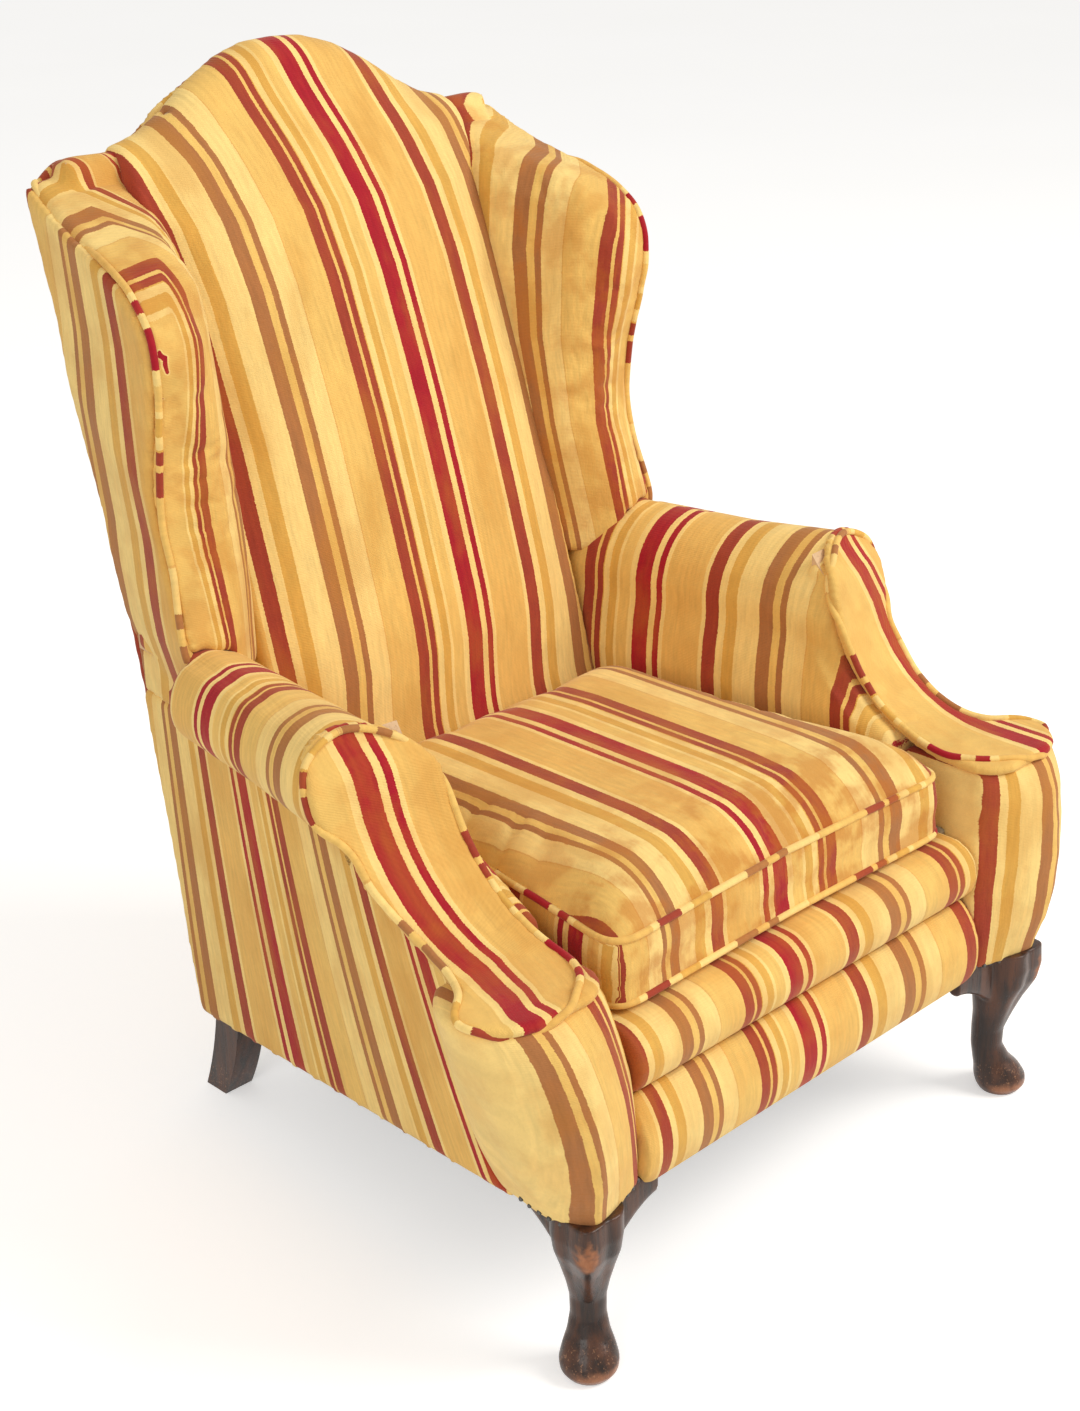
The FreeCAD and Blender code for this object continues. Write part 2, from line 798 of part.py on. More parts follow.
side_rail = prism(outline(
    side_view(side_mid - rail_thick), (-400, rail_low(-400)), ((400, rail_low(400)),),
    ((400, rail_low(400) + rail_height),), ((-400, rail_low(-400) + rail_height),)), V(rail_thick, 0, 0))
side_rail = splayed(side_rail).common(box(0, 600, block_y + block_size / 2, back_skin(leg_top) - skin - 10, 0, 500))
side_rail = fitted(side_rail, leg, post)

half_front = block_x - block_size / 2
front_rail = sloped_band(-half_front, half_front, front_rail_face, front_rail_face + rail_thick, 0, rail_height)
half_back = upright_face - upright_width
rear_rail_back = back_skin(rail_low(250)) - skin
rear_rail = sloped_band(-half_back, half_back, rear_rail_back - rail_thick - 12, rear_rail_back - 12, 0, rail_height)


def corner_block(x, y, toward_x, toward_y):
    """Three-cornered glue block in the angle of two rails."""
    low = rail_low(y) + 18
    wire = outline(level(low), (x, y), ((x + toward_x * corner_block_leg, y),),
                   ((x, y + toward_y * corner_block_leg),))
    return prism(wire, V(0, 0, corner_block_thick))


def block_screws(x, y, toward_x, toward_y):
    """Two screws through a corner block, square to its long face."""
    screws = []
    z = rail_low(y) + 18 + corner_block_thick / 2
    for along in (0.3, 0.7):
        start = V(x + toward_x * corner_block_leg * along, y + toward_y * corner_block_leg * (1 - along), z)
        way = V(-toward_x, 0, 0) if along < 0.5 else V(0, -toward_y, 0)
        head = prism(loop(ring(start, way, screw_head / 2, 8)), way * -screw_head_thick)
        shank = prism(loop(ring(start, way, screw_shank / 2, 8)), way * (screw_length * along + 6))
        screws.append(head.fuse(shank))
    return screws


front_corner = (half_front, front_rail_face + rail_thick)
rear_corner = (half_back, rear_rail_back - rail_thick - 12)
blocks = []
screws = []
for (x, y), toward in ((front_corner, 1), (rear_corner, -1)):
    for mirror in (1, -1):
        solid = corner_block(x * mirror, y, -mirror, toward)
        pair = block_screws(x * mirror, y, -mirror, toward)
        blocks.append(largest(solid.cut(pair)))
        screws += pair

timbers = {"front_rail": front_rail, "rear_rail": rear_rail}
for name, rail in timbers.items():
    add(name, largest(rail.cut(screws)))
side_rail = largest(side_rail.cut(screws + blocks))
add_pair("side_rail", side_rail)
add("corner_blocks", Part.makeCompound(blocks))
add("corner_screws", Part.makeCompound(screws))

# Timber of the arms
arm_post_piece = fitted(arm_post(), side_rail)
sweep_piece = fitted(sweep_board(), side_rail, leg, arm_post_piece)
arm_rail = splayed(prism(outline(
    level(arm_rail_top - arm_rail_thick), (side_mid + arm_board_in, post_front + post_thick),
    ((side_mid + arm_rail_out, post_front + post_thick),), ((side_mid + arm_rail_back_out, 160),),
    ((side_mid + arm_rail_back_out, 420),), ((side_mid + arm_board_in, 420),)), V(0, 0, arm_rail_thick)))
arm_rail = fitted(arm_rail.common(box(0, 600, -300, back_skin(arm_rail_top) - skin - 12, 0, 900)), post)
tack_rail = splayed(box(side_mid + arm_board_in, side_mid + arm_board_in + tack_rail_thick,
                        post_front + post_thick, 420, tack_rail_bottom, tack_rail_bottom + tack_rail_height))
tack_rail = fitted(tack_rail.common(box(0, 600, -300, back_skin(tack_rail_bottom) - skin - 12, 0, 900)), post)
add_pair("arm_post", arm_post_piece)
add_pair("arm_sweep_board", sweep_piece)
add_pair("arm_rail", arm_rail)
add_pair("arm_tack_rail", tack_rail)

# Timber of the wings and the back
wing_post = fitted(wing_frame(True), post)
wing_rail = fitted(wing_frame(False), post, wing_post)
crest = fitted(crest_rail(), wing_rail, mirrored(wing_rail))
wing_rail = fitted(wing_rail.cut(behind_back(0)), crest)
add_pair("wing_post", wing_post)
add_pair("wing_top_rail", wing_rail)
add("crest_rail", crest)
tack_y = back_skin(back_rail_bottom) - skin - upright_depth + 4
back_rail = box(-half_back, half_back, tack_y, tack_y + tack_rail_thick,
                back_rail_bottom, back_rail_bottom + back_rail_height)
add("back_tack_rail", back_rail)

# Suspension
seat_front = front_rail_face + 6
seat_back = rear_rail_back - 18
straps = []
for i in range(web_count):
    x = (i - (web_count - 1) / 2) * 92
    straps.append(sloped_band(x - web_width / 2, x + web_width / 2, seat_front, seat_back, -web_thick, 0))
add("webbing_front_to_back", Part.makeCompound(straps))
cross = []
for i in range(web_count):
    y = -270 + i * 108
    reach = side_mid - y * math.tan(math.radians(splay)) - 8
    cross.append(sloped_band(-reach, reach, y - web_width / 2, y + web_width / 2, -2 * web_thick, -web_thick))
add("webbing_side_to_side", Part.makeCompound(cross))
coils = []
for row in range(3):
    y = -215 + row * spring_pitch_y
    for x in spring_grid:
        low = rail_low(y - spring_radius)
        coils.append(spring(x * (1 - 0.06 * row), y, low, canvas_z))
add("seat_springs", Part.makeCompound(coils))


def seat_plan(z, inset):
    """Plan of the sprung seat between the side rails."""
    front = front_rail_face + rail_thick + 2
    back = 170.0
    wide = side_mid - front * math.tan(math.radians(splay)) - rail_thick - inset
    narrow = side_mid - back * math.tan(math.radians(splay)) - rail_thick - inset
    return outline(level(z), (-wide, front), ((wide, front),), ((narrow, back),), ((-narrow, back),))


add("spring_canvas", prism(seat_plan(canvas_z, 6), V(0, 0, canvas_thick)))

# Padding and covers
side_timbers = [leg, side_rail, arm_post_piece, sweep_piece, arm_rail, tack_rail, wing_post, wing_rail, post]
border = border_roll()
lip = lip_roll()
lip = largest(lip.cut([parts["spring_canvas"], front_rail, box(-600, 600, -300, 0, 0, canvas_z + canvas_thick)]))
add("front_border_roll", fitted(border, leg, mirrored(leg), parts["knee_brackets_right"],
                               parts["knee_brackets_left"]))
add("front_lip_roll", lip)

back_pad = inside_back()
back_pad = fitted(back_pad, crest, back_rail, post, mirrored(post), wing_rail, mirrored(wing_rail))
hollow = raked(box(-half_back + 2, half_back - 2, back_skin_y - skin - upright_top_depth, back_skin_y + 50,
                   0, 1013))
back_pad = largest(back_pad.cut(hollow))
add("inside_back", back_pad)
add("outside_back", outside_back())

rear = behind_back(0)
wing_out_piece = wing_skin(skin, 0).common(wing_turned(wing_slab(-90, 90, -3, arm_outside_top)))
wing_out_piece = fitted(wing_out_piece.cut(rear), *side_timbers, crest)
beyond_wing = wing_skin(skin, 90).common(wing_turned(wing_slab(-90, 140, 0, arm_outside_top - 60)))
arm_piece = largest(arm_pad(arm_nose).cut([above_sweep(facing_thick), beyond_wing]))
arm_piece = fitted(arm_piece, *side_timbers, back_pad, wing_out_piece)
facing_piece = fitted(facing(), arm_piece, arm_post_piece, sweep_piece)
pad = front_pad()
pad = fitted(pad, parts["knee_brackets_right"], *side_timbers, arm_piece, border, lip, facing_piece,
             front_rail, parts["corner_blocks"], parts["corner_screws"], parts["spring_canvas"])
arm_outside = prism(outline(
    side_view(side_mid + arm_board_in + arm_board_thick),
    (back_skin(leg_top) - skin, rail_low(262)), ((-318, rail_low(-318)),), ((-250, 398),), ((-150, 494),),
    ((back_skin(arm_outside_top) - skin, arm_outside_top),)), V(skin + 4, 0, 0))
arm_outside = fitted(splayed(arm_outside), arm_piece, pad, facing_piece, *side_timbers, wing_out_piece,
                     parts["outside_back"])
wing_in_piece = wing_turned(wing_slab(-120, 90, 0, wing_foot)).common(wing_space())
wing_in_piece = wing_in_piece.cut([rear, wing_skin(skin, 120)])
wing_in_piece = fitted(wing_in_piece, *side_timbers, arm_piece, back_pad, crest)
add_pair("inside_arm", arm_piece)
add_pair("arm_facing", facing_piece)
add_pair("front_panel", pad)
add_pair("outside_arm", arm_outside)
add_pair("inside_wing", wing_in_piece)
add_pair("outside_wing", wing_out_piece)

stuffing = prism(seat_plan(canvas_z + canvas_thick, 2), V(0, 0, deck_top - canvas_z - canvas_thick))
stuffing = fitted(stuffing, lip, arm_piece, mirrored(arm_piece), back_pad, pad, mirrored(pad),
                  sweep_piece, mirrored(sweep_piece), side_rail, mirrored(side_rail))
add("seat_stuffing", stuffing)
cloth = sloped_band(-330, 330, front_rail_face + 4, seat_back, -2 * web_thick - bottom_cloth, -2 * web_thick)
cloth = largest(cloth.common(prism(outline(
    level(0), (-330, -400), ((330, -400),), ((side_mid - 26, 300),), ((26 - side_mid, 300),)), V(0, 0, 400))))
cloth = fitted(cloth, leg, mirrored(leg), post, mirrored(post), parts["knee_brackets_right"],
               parts["knee_brackets_left"])
add("bottom_cloth", cloth)

# Piping
wing_seam_path = stepped(wing_curve(side_view(wing_pivot_x + wing_seam), piping + 0.2), 1)
wing_welt = wing_turned(welt(wing_seam_path, piping))
add_pair("wing_piping", fitted(wing_welt.cut(behind_back(skin)), arm_piece, wing_in_piece, wing_out_piece, back_pad,
                               parts["outside_back"]))

# Loose cushion
outer = cushion_form(0.0)
inner = cushion_form(cover_thick)
add("cushion_cover", largest(outer.cut(inner)))
add("cushion_filling", inner)
seams = []
for z in (cushion_low_seam + piping, cushion_top_seam):
    seam_path = cushion_loop(z, 1.6 - piping)
    join = seam_path[0] + (seam_path[-1] - seam_path[0]).normalize() * 0.5
    seams.append(welt(seam_path + [join], piping))
seams = [largest(seam.cut(outer)) for seam in seams]
add("cushion_piping", Part.makeCompound(seams))

os.makedirs("parts", exist_ok=True)
for name, shape in parts.items():
    shape.exportStep("parts/" + name + ".step")
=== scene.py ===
import math

import bmesh
import bpy
import numpy as np
from mathutils import Matrix, Vector
from mathutils.bvhtree import BVHTree


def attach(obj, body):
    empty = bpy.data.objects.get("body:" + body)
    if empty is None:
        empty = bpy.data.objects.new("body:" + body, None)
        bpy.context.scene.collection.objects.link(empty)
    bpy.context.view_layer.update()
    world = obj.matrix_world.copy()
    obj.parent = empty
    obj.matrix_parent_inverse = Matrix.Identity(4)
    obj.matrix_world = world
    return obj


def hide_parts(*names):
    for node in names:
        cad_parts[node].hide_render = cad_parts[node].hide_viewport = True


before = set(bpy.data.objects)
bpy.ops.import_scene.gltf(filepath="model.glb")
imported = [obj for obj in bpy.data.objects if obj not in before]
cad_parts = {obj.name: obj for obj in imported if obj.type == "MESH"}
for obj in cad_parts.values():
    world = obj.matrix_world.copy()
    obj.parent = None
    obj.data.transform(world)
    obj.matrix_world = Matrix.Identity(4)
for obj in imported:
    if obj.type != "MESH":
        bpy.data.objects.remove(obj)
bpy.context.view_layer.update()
sides = {"right": 1, "left": -1}


# ---------------------------------------------------------------- Beech frame
# The frame is beech, sawn and planed, doweled and glued. Rails carry the seat,
# posts and boards shape the arms and wings. The cover hides all of it.


class Value:
    """A value or colour in a finish. Sums on it add Math nodes."""

    def __init__(self, finish, socket):
        self.finish = finish
        self.socket = socket

    def sum(self, operation, first, *rest):
        return self.finish.add("Math", {"operation": operation}, dict(enumerate((first,) + rest)))

    def __add__(self, other):
        return self.sum("ADD", self, other)

    def __radd__(self, other):
        return self.sum("ADD", other, self)

    def __sub__(self, other):
        return self.sum("SUBTRACT", self, other)

    def __rsub__(self, other):
        return self.sum("SUBTRACT", other, self)

    def __mul__(self, other):
        return self.sum("MULTIPLY", self, other)

    def __rmul__(self, other):
        return self.sum("MULTIPLY", other, self)

    def __truediv__(self, other):
        return self.sum("DIVIDE", self, other)

    def __mod__(self, other):
        return self.sum("FLOORED_MODULO", self, other)

    def __pow__(self, other):
        return self.sum("POWER", self, other)

    def __abs__(self):
        return self.sum("ABSOLUTE", self)

    def sine(self):
        return self.sum("SINE", self)


class Finish:
    """A material, built up in steps on one Principled shader."""

    def __init__(self, name, **constants):
        self.material = bpy.data.materials.new(name)
        self.material.use_nodes = True
        self.tree = self.material.node_tree
        self.shader = self.tree.nodes["Principled BSDF"]
        for socket, value in constants.items():
            self.shader.inputs[socket.replace("_", " ")].default_value = value

    def add(self, kind, settings, values, output=0):
        node = self.tree.nodes.new("ShaderNode" + kind)
        stops = settings.get("stops")
        for name, setting in settings.items():
            if name != "stops":
                setattr(node, name, setting)
        if stops:
            ramp = node.color_ramp
            ramp.interpolation = "CONSTANT" if settings.get("label") == "stripes" else "LINEAR"
            while len(ramp.elements) < len(stops):
                ramp.elements.new(1.0)
            for element, (place, colour) in zip(ramp.elements, stops):
                element.position = place
                element.color = colour
        for name, value in values.items():
            if isinstance(value, Value):
                self.tree.links.new(value.socket, node.inputs[name])
            else:
                node.inputs[name].default_value = value
        return Value(self, node.outputs[output])

    def place(self, stretch=(1, 1, 1)):
        """Where a point of the piece is, with each direction stretched."""
        here = self.add("TexCoord", {}, {}, "Object")
        return self.add("VectorMath", {"operation": "MULTIPLY"}, {0: here, 1: stretch})

    def axes(self, vector):
        split = self.add("SeparateXYZ", {}, {0: vector})
        node = split.socket.node
        return [Value(self, socket) for socket in node.outputs]

    def clouds(self, where, scale, detail=3.0):
        """Soft irregular variation, from 0 to 1."""
        return self.add("TexNoise", {}, {"Vector": where, "Scale": scale, "Detail": detail})

    def rise(self, value, low, high):
        """0 below low, 1 above high, and a smooth step between."""
        return self.add("MapRange", {"interpolation_type": "SMOOTHSTEP"},
                        {"Value": value, "From Min": low, "From Max": high})

    def mix(self, share, first, second):
        return self.add("Mix", {"data_type": "RGBA"}, {0: share, 6: first, 7: second}, 2)

    def shade(self, colour, amount):
        """A colour, lighter or darker by an amount that varies."""
        return self.add("VectorMath", {"operation": "SCALE"}, {0: colour, "Scale": amount})

    def relief(self, height, depth, strength=1.0):
        return self.add("Bump", {}, {"Height": height, "Distance": depth, "Strength": strength})

    def to(self, socket, value):
        self.tree.links.new(value.socket, self.shader.inputs[socket])


def dye(red, green, blue):
    """Linear colour of a shade given as it looks, in steps of 255."""
    tones = []
    for tone in (red, green, blue):
        share = tone / 255
        tones.append(share / 12.92 if share < 0.04045 else ((share + 0.055) / 1.055) ** 2.4)
    return (*tones, 1.0)


def beech():
    """Pale sawn beech with short ray flecks."""
    wood = Finish("beech", Specular_IOR_Level=0.3)
    grain = wood.clouds(wood.place((40, 6, 40)), 2.0, 5.0)
    flecks = wood.rise(wood.clouds(wood.place((300, 60, 120)), 3.0), 0.62, 0.7)
    tone = wood.mix(grain, dye(198, 160, 118), dye(222, 190, 150))
    wood.to("Base Color", wood.mix(flecks * 0.4, tone, dye(168, 122, 80)))
    wood.to("Roughness", 0.55 + grain * 0.2)
    wood.to("Normal", wood.relief(grain + flecks * 0.5, 0.0006))
    return wood.material


def refinish(finish, *nodes):
    """Gives a finish to the pieces that stay as they were cut."""
    for name in nodes:
        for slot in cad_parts[name].material_slots:
            slot.material = finish


sawn_beech = beech()
refinish(sawn_beech, "front_rail", "rear_rail", "back_tack_rail", "crest_rail", "corner_blocks")
for side in sides:
    for timber in ("side_rail", "arm_post", "arm_sweep_board", "arm_rail", "arm_tack_rail", "wing_post",
                   "wing_top_rail"):
        refinish(sawn_beech, timber + "_" + side)


# ---------------------------------------------------------------- Screws and springs
# Steel wood screws hold the corner blocks. Nine waisted coil springs of drawn
# wire stand on the webbing and carry the seat.


def metal(name, tone, roughness):
    """Steel with a dull, slightly scratched skin."""
    steel = Finish(name, Metallic=1.0)
    skin = steel.clouds(steel.place((1, 1, 6)), 180.0, 4.0)
    steel.to("Base Color", steel.mix(skin, tone, dye(128, 126, 122)))
    steel.to("Roughness", roughness + skin * 0.25)
    steel.to("Normal", steel.relief(skin, 0.0002))
    return steel.material


refinish(metal("screw_steel", dye(160, 160, 158), 0.3), "corner_screws")


coil_pitch = 0.017


def wound_wire():
    """Coppered spring wire: turns of wire with the gaps between them in shade."""
    wire = Finish("wound_wire", Metallic=1.0)
    x, y, z = wire.axes(wire.place())
    turn = 0.5 + 0.5 * (z * (2 * math.pi / coil_pitch)).sine()
    wire.to("Base Color", wire.mix(wire.rise(turn, 0.45, 0.75), dye(40, 30, 24), dye(176, 128, 96)))
    wire.to("Roughness", 0.75 - turn * 0.35)
    wire.to("Normal", wire.relief(turn, 0.003))
    return wire.material


refinish(wound_wire(), "seat_springs")


# ---------------------------------------------------------------- Webbing, canvas and stuffing
# Jute webbing is tacked under the rails in a basket weave. Canvas covers the
# springs, a pad of fibre lies on it, and thin cloth closes the underside.


def woven(name, pale, dark, pitch, depth):
    """Plain weave: threads over and under in both directions, with painted shade where they dip under."""
    cloth = Finish(name, Specular_IOR_Level=0.2)
    x, y, z = cloth.axes(cloth.place())
    over = 0.5 + 0.5 * (x * (math.pi / pitch)).sine() * (y * (math.pi / pitch)).sine()
    slub = cloth.clouds(cloth.place((1, 12, 1)), 90.0)
    # Where the threads dip under, the colour goes towards the dark tone: painted shade between the threads.
    # The slub is the yarn's own uneven tone.
    cloth.to("Base Color", cloth.mix(over * 0.6 + slub * 0.4, dark, pale))
    cloth.to("Roughness", 0.8 + slub * 0.15)
    cloth.to("Normal", cloth.relief(over + slub, depth))
    return cloth.material


refinish(woven("jute_webbing", dye(196, 168, 120), dye(128, 100, 62), pitch=0.003, depth=0.0012),
         "webbing_front_to_back", "webbing_side_to_side")
refinish(woven("jute_canvas", dye(188, 160, 116), dye(122, 96, 60), pitch=0.0016, depth=0.0006),
         "spring_canvas")
refinish(woven("black_bottom_cloth", dye(52, 50, 48), dye(24, 23, 22), pitch=0.0009, depth=0.0003),
         "bottom_cloth")


def fibre():
    """Matted stuffing fibre, laid every way."""
    pad = Finish("stuffing_fibre", Specular_IOR_Level=0.1)
    tangle = pad.clouds(pad.place((1, 7, 1)), 120.0, 6.0)
    cross = pad.clouds(pad.place((7, 1, 3)), 110.0, 6.0)
    pad.to("Base Color", pad.mix(tangle * 0.5 + cross * 0.5, dye(96, 76, 52), dye(206, 190, 158)))
    pad.to("Roughness", 0.85 + cross * 0.1)
    pad.to("Normal", pad.relief(tangle + cross, 0.002))
    return pad.material


fibre_finish = fibre()


# ---------------------------------------------------------------- Front legs
# Two short cabriole legs in mahogany, each with a pad foot, a carved ridge down
# the knee and two shaped ears glued beside it under the rails.

foot_height = 0.034
ankle_height = 0.058
knee_height = 0.150
leg_x, leg_y = 0.318, -0.366
ear_length = 0.078
ear_drop = 0.048
ear_tip = 0.030
ear_thick = 0.024
rail_height = 0.188
ridge_height = 0.17           # share of the knee's radius
block_half = 0.026            # half side of the square block inside the rails
block_low, block_high = 0.165, 0.262
leg_grain = 0.0018            # size of the faces of a finished leg


def add_piece(name, mesh):
    piece = bpy.data.objects.new(name, mesh)
    bpy.context.scene.collection.objects.link(piece)
    return piece


def settle(piece):
    """Turns the modifiers of a piece into its plain mesh."""
    bpy.context.view_layer.update()
    made = bpy.data.meshes.new_from_object(piece.evaluated_get(bpy.context.evaluated_depsgraph_get()))
    piece.modifiers.clear()
    piece.data = made


def loft(form, rings):
    """Closed skin through rings of points, with both ends capped."""
    rows = [[form.verts.new(point) for point in points] for points in rings]
    for low, high in zip(rows, rows[1:]):
        for i, corner in enumerate(low):
            j = (i + 1) % len(low)
            form.faces.new((corner, low[j], high[j], high[i]))
    form.faces.new(rows[0][::-1])
    form.faces.new(rows[-1])


def leg_rings():
    """Rings up the leg, along its diagonal throw, with the ridge and hollows of the knee."""
    stations = (
        (0.0, 0.030, 0.023), (foot_height * 0.25, 0.031, 0.0285), (foot_height * 0.5, 0.030, 0.0295),
        (foot_height * 0.85, 0.026, 0.0262), (foot_height * 1.2, 0.019, 0.0212),
        (ankle_height, 0.013, 0.0178),
        (ankle_height + 0.022, 0.013, 0.0182), (knee_height - 0.050, 0.017, 0.0216),
        (knee_height - 0.028, 0.0205, 0.027), (knee_height - 0.006, 0.027, 0.0325),
        (knee_height + 0.014, 0.0285, 0.035), (rail_height, 0.027, 0.035))
    heights, throws, radii = zip(*stations)
    diagonal = math.sqrt(0.5)
    rings = []
    for height in np.linspace(0, rail_height, 64):
        throw = np.interp(height, heights, throws)
        radius = np.interp(height, heights, radii)
        ridge = ridge_height * min(max((height - 0.07) / 0.06, 0), 1)
        ring = []
        for corner in range(60):
            turn = corner / 60 * 2 * math.pi
            off = abs((turn + math.pi) % (2 * math.pi) - math.pi)
            ridged = 1 + ridge * math.exp(-(off / 0.26) ** 2)
            hollowed = 0.8 * ridge * math.exp(-((off - 0.72) / 0.3) ** 2)
            reach = radius * (ridged - hollowed)
            out = Vector((diagonal, -diagonal, 0)) * (throw + reach * math.cos(turn))
            across = Vector((diagonal, diagonal, 0)) * (reach * math.sin(turn))
            ring.append(Vector((leg_x, leg_y, height)) + out + across)
        rings.append(ring)
    return rings


def ear_rings(root, way, across):
    """Rings of one ear, deep beside the knee and thin at its tip."""
    rings = []
    for share in np.linspace(0, 1, 12):
        deep = ear_drop * (1 - share) ** 1.7 + ear_tip
        thick = ear_thick * (1 - 0.35 * share)
        middle = root + way * (ear_length * share) + Vector((0, 0, -deep / 2))
        ring = []
        for corner in range(20):
            turn = corner / 20 * 2 * math.pi
            side = math.copysign(abs(math.cos(turn)) ** 0.6, math.cos(turn)) * thick / 2
            rise = math.copysign(abs(math.sin(turn)) ** 0.6, math.sin(turn)) * deep / 2
            ring.append(middle + across * side + Vector((0, 0, rise)))
        rings.append(ring)
    return rings


def front_leg(side, sign):
    """One leg with its ears and its square block, skinned as one carved form."""
    form = bmesh.new()
    loft(form, leg_rings())
    inward = ear_rings(Vector((leg_x + 0.004, leg_y - 0.017, rail_height)), Vector((-1, 0, 0)),
                       Vector((0, 1, 0)))
    backward = ear_rings(Vector((leg_x + 0.020, leg_y - 0.004, rail_height - 0.003)), Vector((-0.06, 1, 0)),
                         Vector((1, 0, 0)))
    loft(form, inward)
    loft(form, backward)
    corners = ((1, 1), (-1, 1), (-1, -1), (1, -1))
    block = [[Vector((leg_x + block_half * a, leg_y + block_half * b, z)) for a, b in corners]
             for z in (block_low, block_high)]
    loft(form, block)
    bmesh.ops.scale(form, vec=(sign, 1, 1), verts=form.verts)
    bmesh.ops.remove_doubles(form, verts=form.verts, dist=1e-5)
    bmesh.ops.recalc_face_normals(form, faces=form.faces)
    mesh = bpy.data.meshes.new("carved_leg_" + side)
    form.to_mesh(mesh)
    form.free()
    leg = add_piece("carved_leg_" + side, mesh)
    even = leg.modifiers.new("even", "REMESH")
    even.mode = "VOXEL"
    even.voxel_size = leg_grain
    even.use_smooth_shade = True
    soften = leg.modifiers.new("soften", "SMOOTH")
    soften.iterations = 4
    settle(leg)
    return leg


def mahogany():
    """Dark polished mahogany with pores along the grain, rubbed through on the knee and toe, and painted
    sheen as lighter specks on the foot.
    """
    wood = Finish("polished_mahogany", Coat_Roughness=0.1, Specular_IOR_Level=0.25)
    x, y, z = wood.axes(wood.place())
    out = abs(x)
    grain = wood.clouds(wood.place((90, 90, 9)), 1.0, 6.0)
    pores = wood.rise(wood.clouds(wood.place((700, 700, 45)), 1.0, 2.0), 0.58, 0.72)
    tone = wood.mix(wood.rise(grain, 0.3, 0.7), dye(38, 27, 22), dye(86, 52, 34))
    tone = wood.mix(pores * 0.5, tone, dye(24, 17, 14))
    edge = wood.clouds(wood.place(), 130.0, 5.0) * 0.022
    knee = ((out - 0.3635) ** 2 + (y + 0.4105) ** 2 + ((z - 0.1545) * 0.62) ** 2) ** 0.5
    rubbed = 1 - wood.rise(knee + edge, 0.015, 0.027)
    toe = 1 - wood.rise(abs(z - 0.009) + edge * 0.6, 0.008, 0.018)
    toe = toe * (1 - wood.rise(y, -0.405, -0.385))
    # Lighter specks on the foot are painted sheen: the mottled shine of the polish, drawn into the colour.
    painted_foot_sheen = wood.rise(wood.clouds(wood.place(), 420.0, 2.0), 0.6, 0.68)
    painted_foot_sheen = painted_foot_sheen * (1 - wood.rise(z, 0.028, 0.045))
    worn = wood.mix(wood.clouds(wood.place((1, 1, 0.3)), 160.0), dye(132, 74, 40), dye(196, 136, 98))
    tone = wood.mix(rubbed * 0.9, tone, worn)
    tone = wood.mix(toe * 0.75, tone, worn)
    # Painted sheen: the lighter specks are mixed into the foot's colour.
    tone = wood.mix(painted_foot_sheen * 0.55, tone, dye(168, 122, 88))
    wood.to("Base Color", tone)
    wood.to("Roughness", 0.3 + rubbed * 0.3 + grain * 0.12)
    wood.to("Coat Weight", 0.2 - rubbed * 0.18)
    wood.to("Normal", wood.relief(grain - pores * 0.4, 0.0007))
    return wood.material


polished = mahogany()
for side, sign in sides.items():
    leg = front_leg(side, sign)
    leg.data.materials.append(polished)
    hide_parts("front_leg_" + side, "knee_brackets_" + side)
    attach(leg, "chair")

# The rear legs and back posts are sawn in one raked piece; only the legs show,
# stained and polished to match the front.
refinish(polished, "back_upright_right", "back_upright_left")


# ---------------------------------------------------------------- Striped velvet
# One cloth covers the whole chair: gold velvet woven in bands of several golds,
# with crimson, rust and taupe stripes, worn and crushed by use.

repeat = 0.353                # width of one repeat of the stripes
fray = 0.0022                 # how far the edge of a stripe wanders
rib_pitch = 0.0017
pile_depth = 0.0006


def stripe_stops():
    """The yarns of one repeat in the order of the loom, each with its width in millimetres."""
    gold = dye(231, 188, 104)
    bright = dye(242, 208, 130)
    amber = dye(218, 168, 80)
    orange = dye(228, 181, 98)
    crimson = dye(164, 24, 40)
    rust = dye(158, 62, 44)
    taupe = dye(170, 112, 66)
    line = dye(222, 172, 94)
    yarns = ((8.75, taupe), (9.25, gold), (9, taupe), (26, bright), (2, line), (40, gold), (15, rust),
             (3.5, gold), (8, rust), (1.5, amber), (9, bright), (11, amber), (3.5, bright), (15.5, gold),
             (8.5, bright), (21, crimson), (8.5, bright), (8, crimson), (5.5, bright), (51.5, orange),
             (5, bright), (18, rust), (10, bright), (15, amber), (30.75, bright), (8.75, taupe))
    stops = []
    reached = 0.0
    for width, yarn in yarns:
        stops.append((reached / sum(width for width, yarn in yarns), yarn))
        reached += width
    return stops


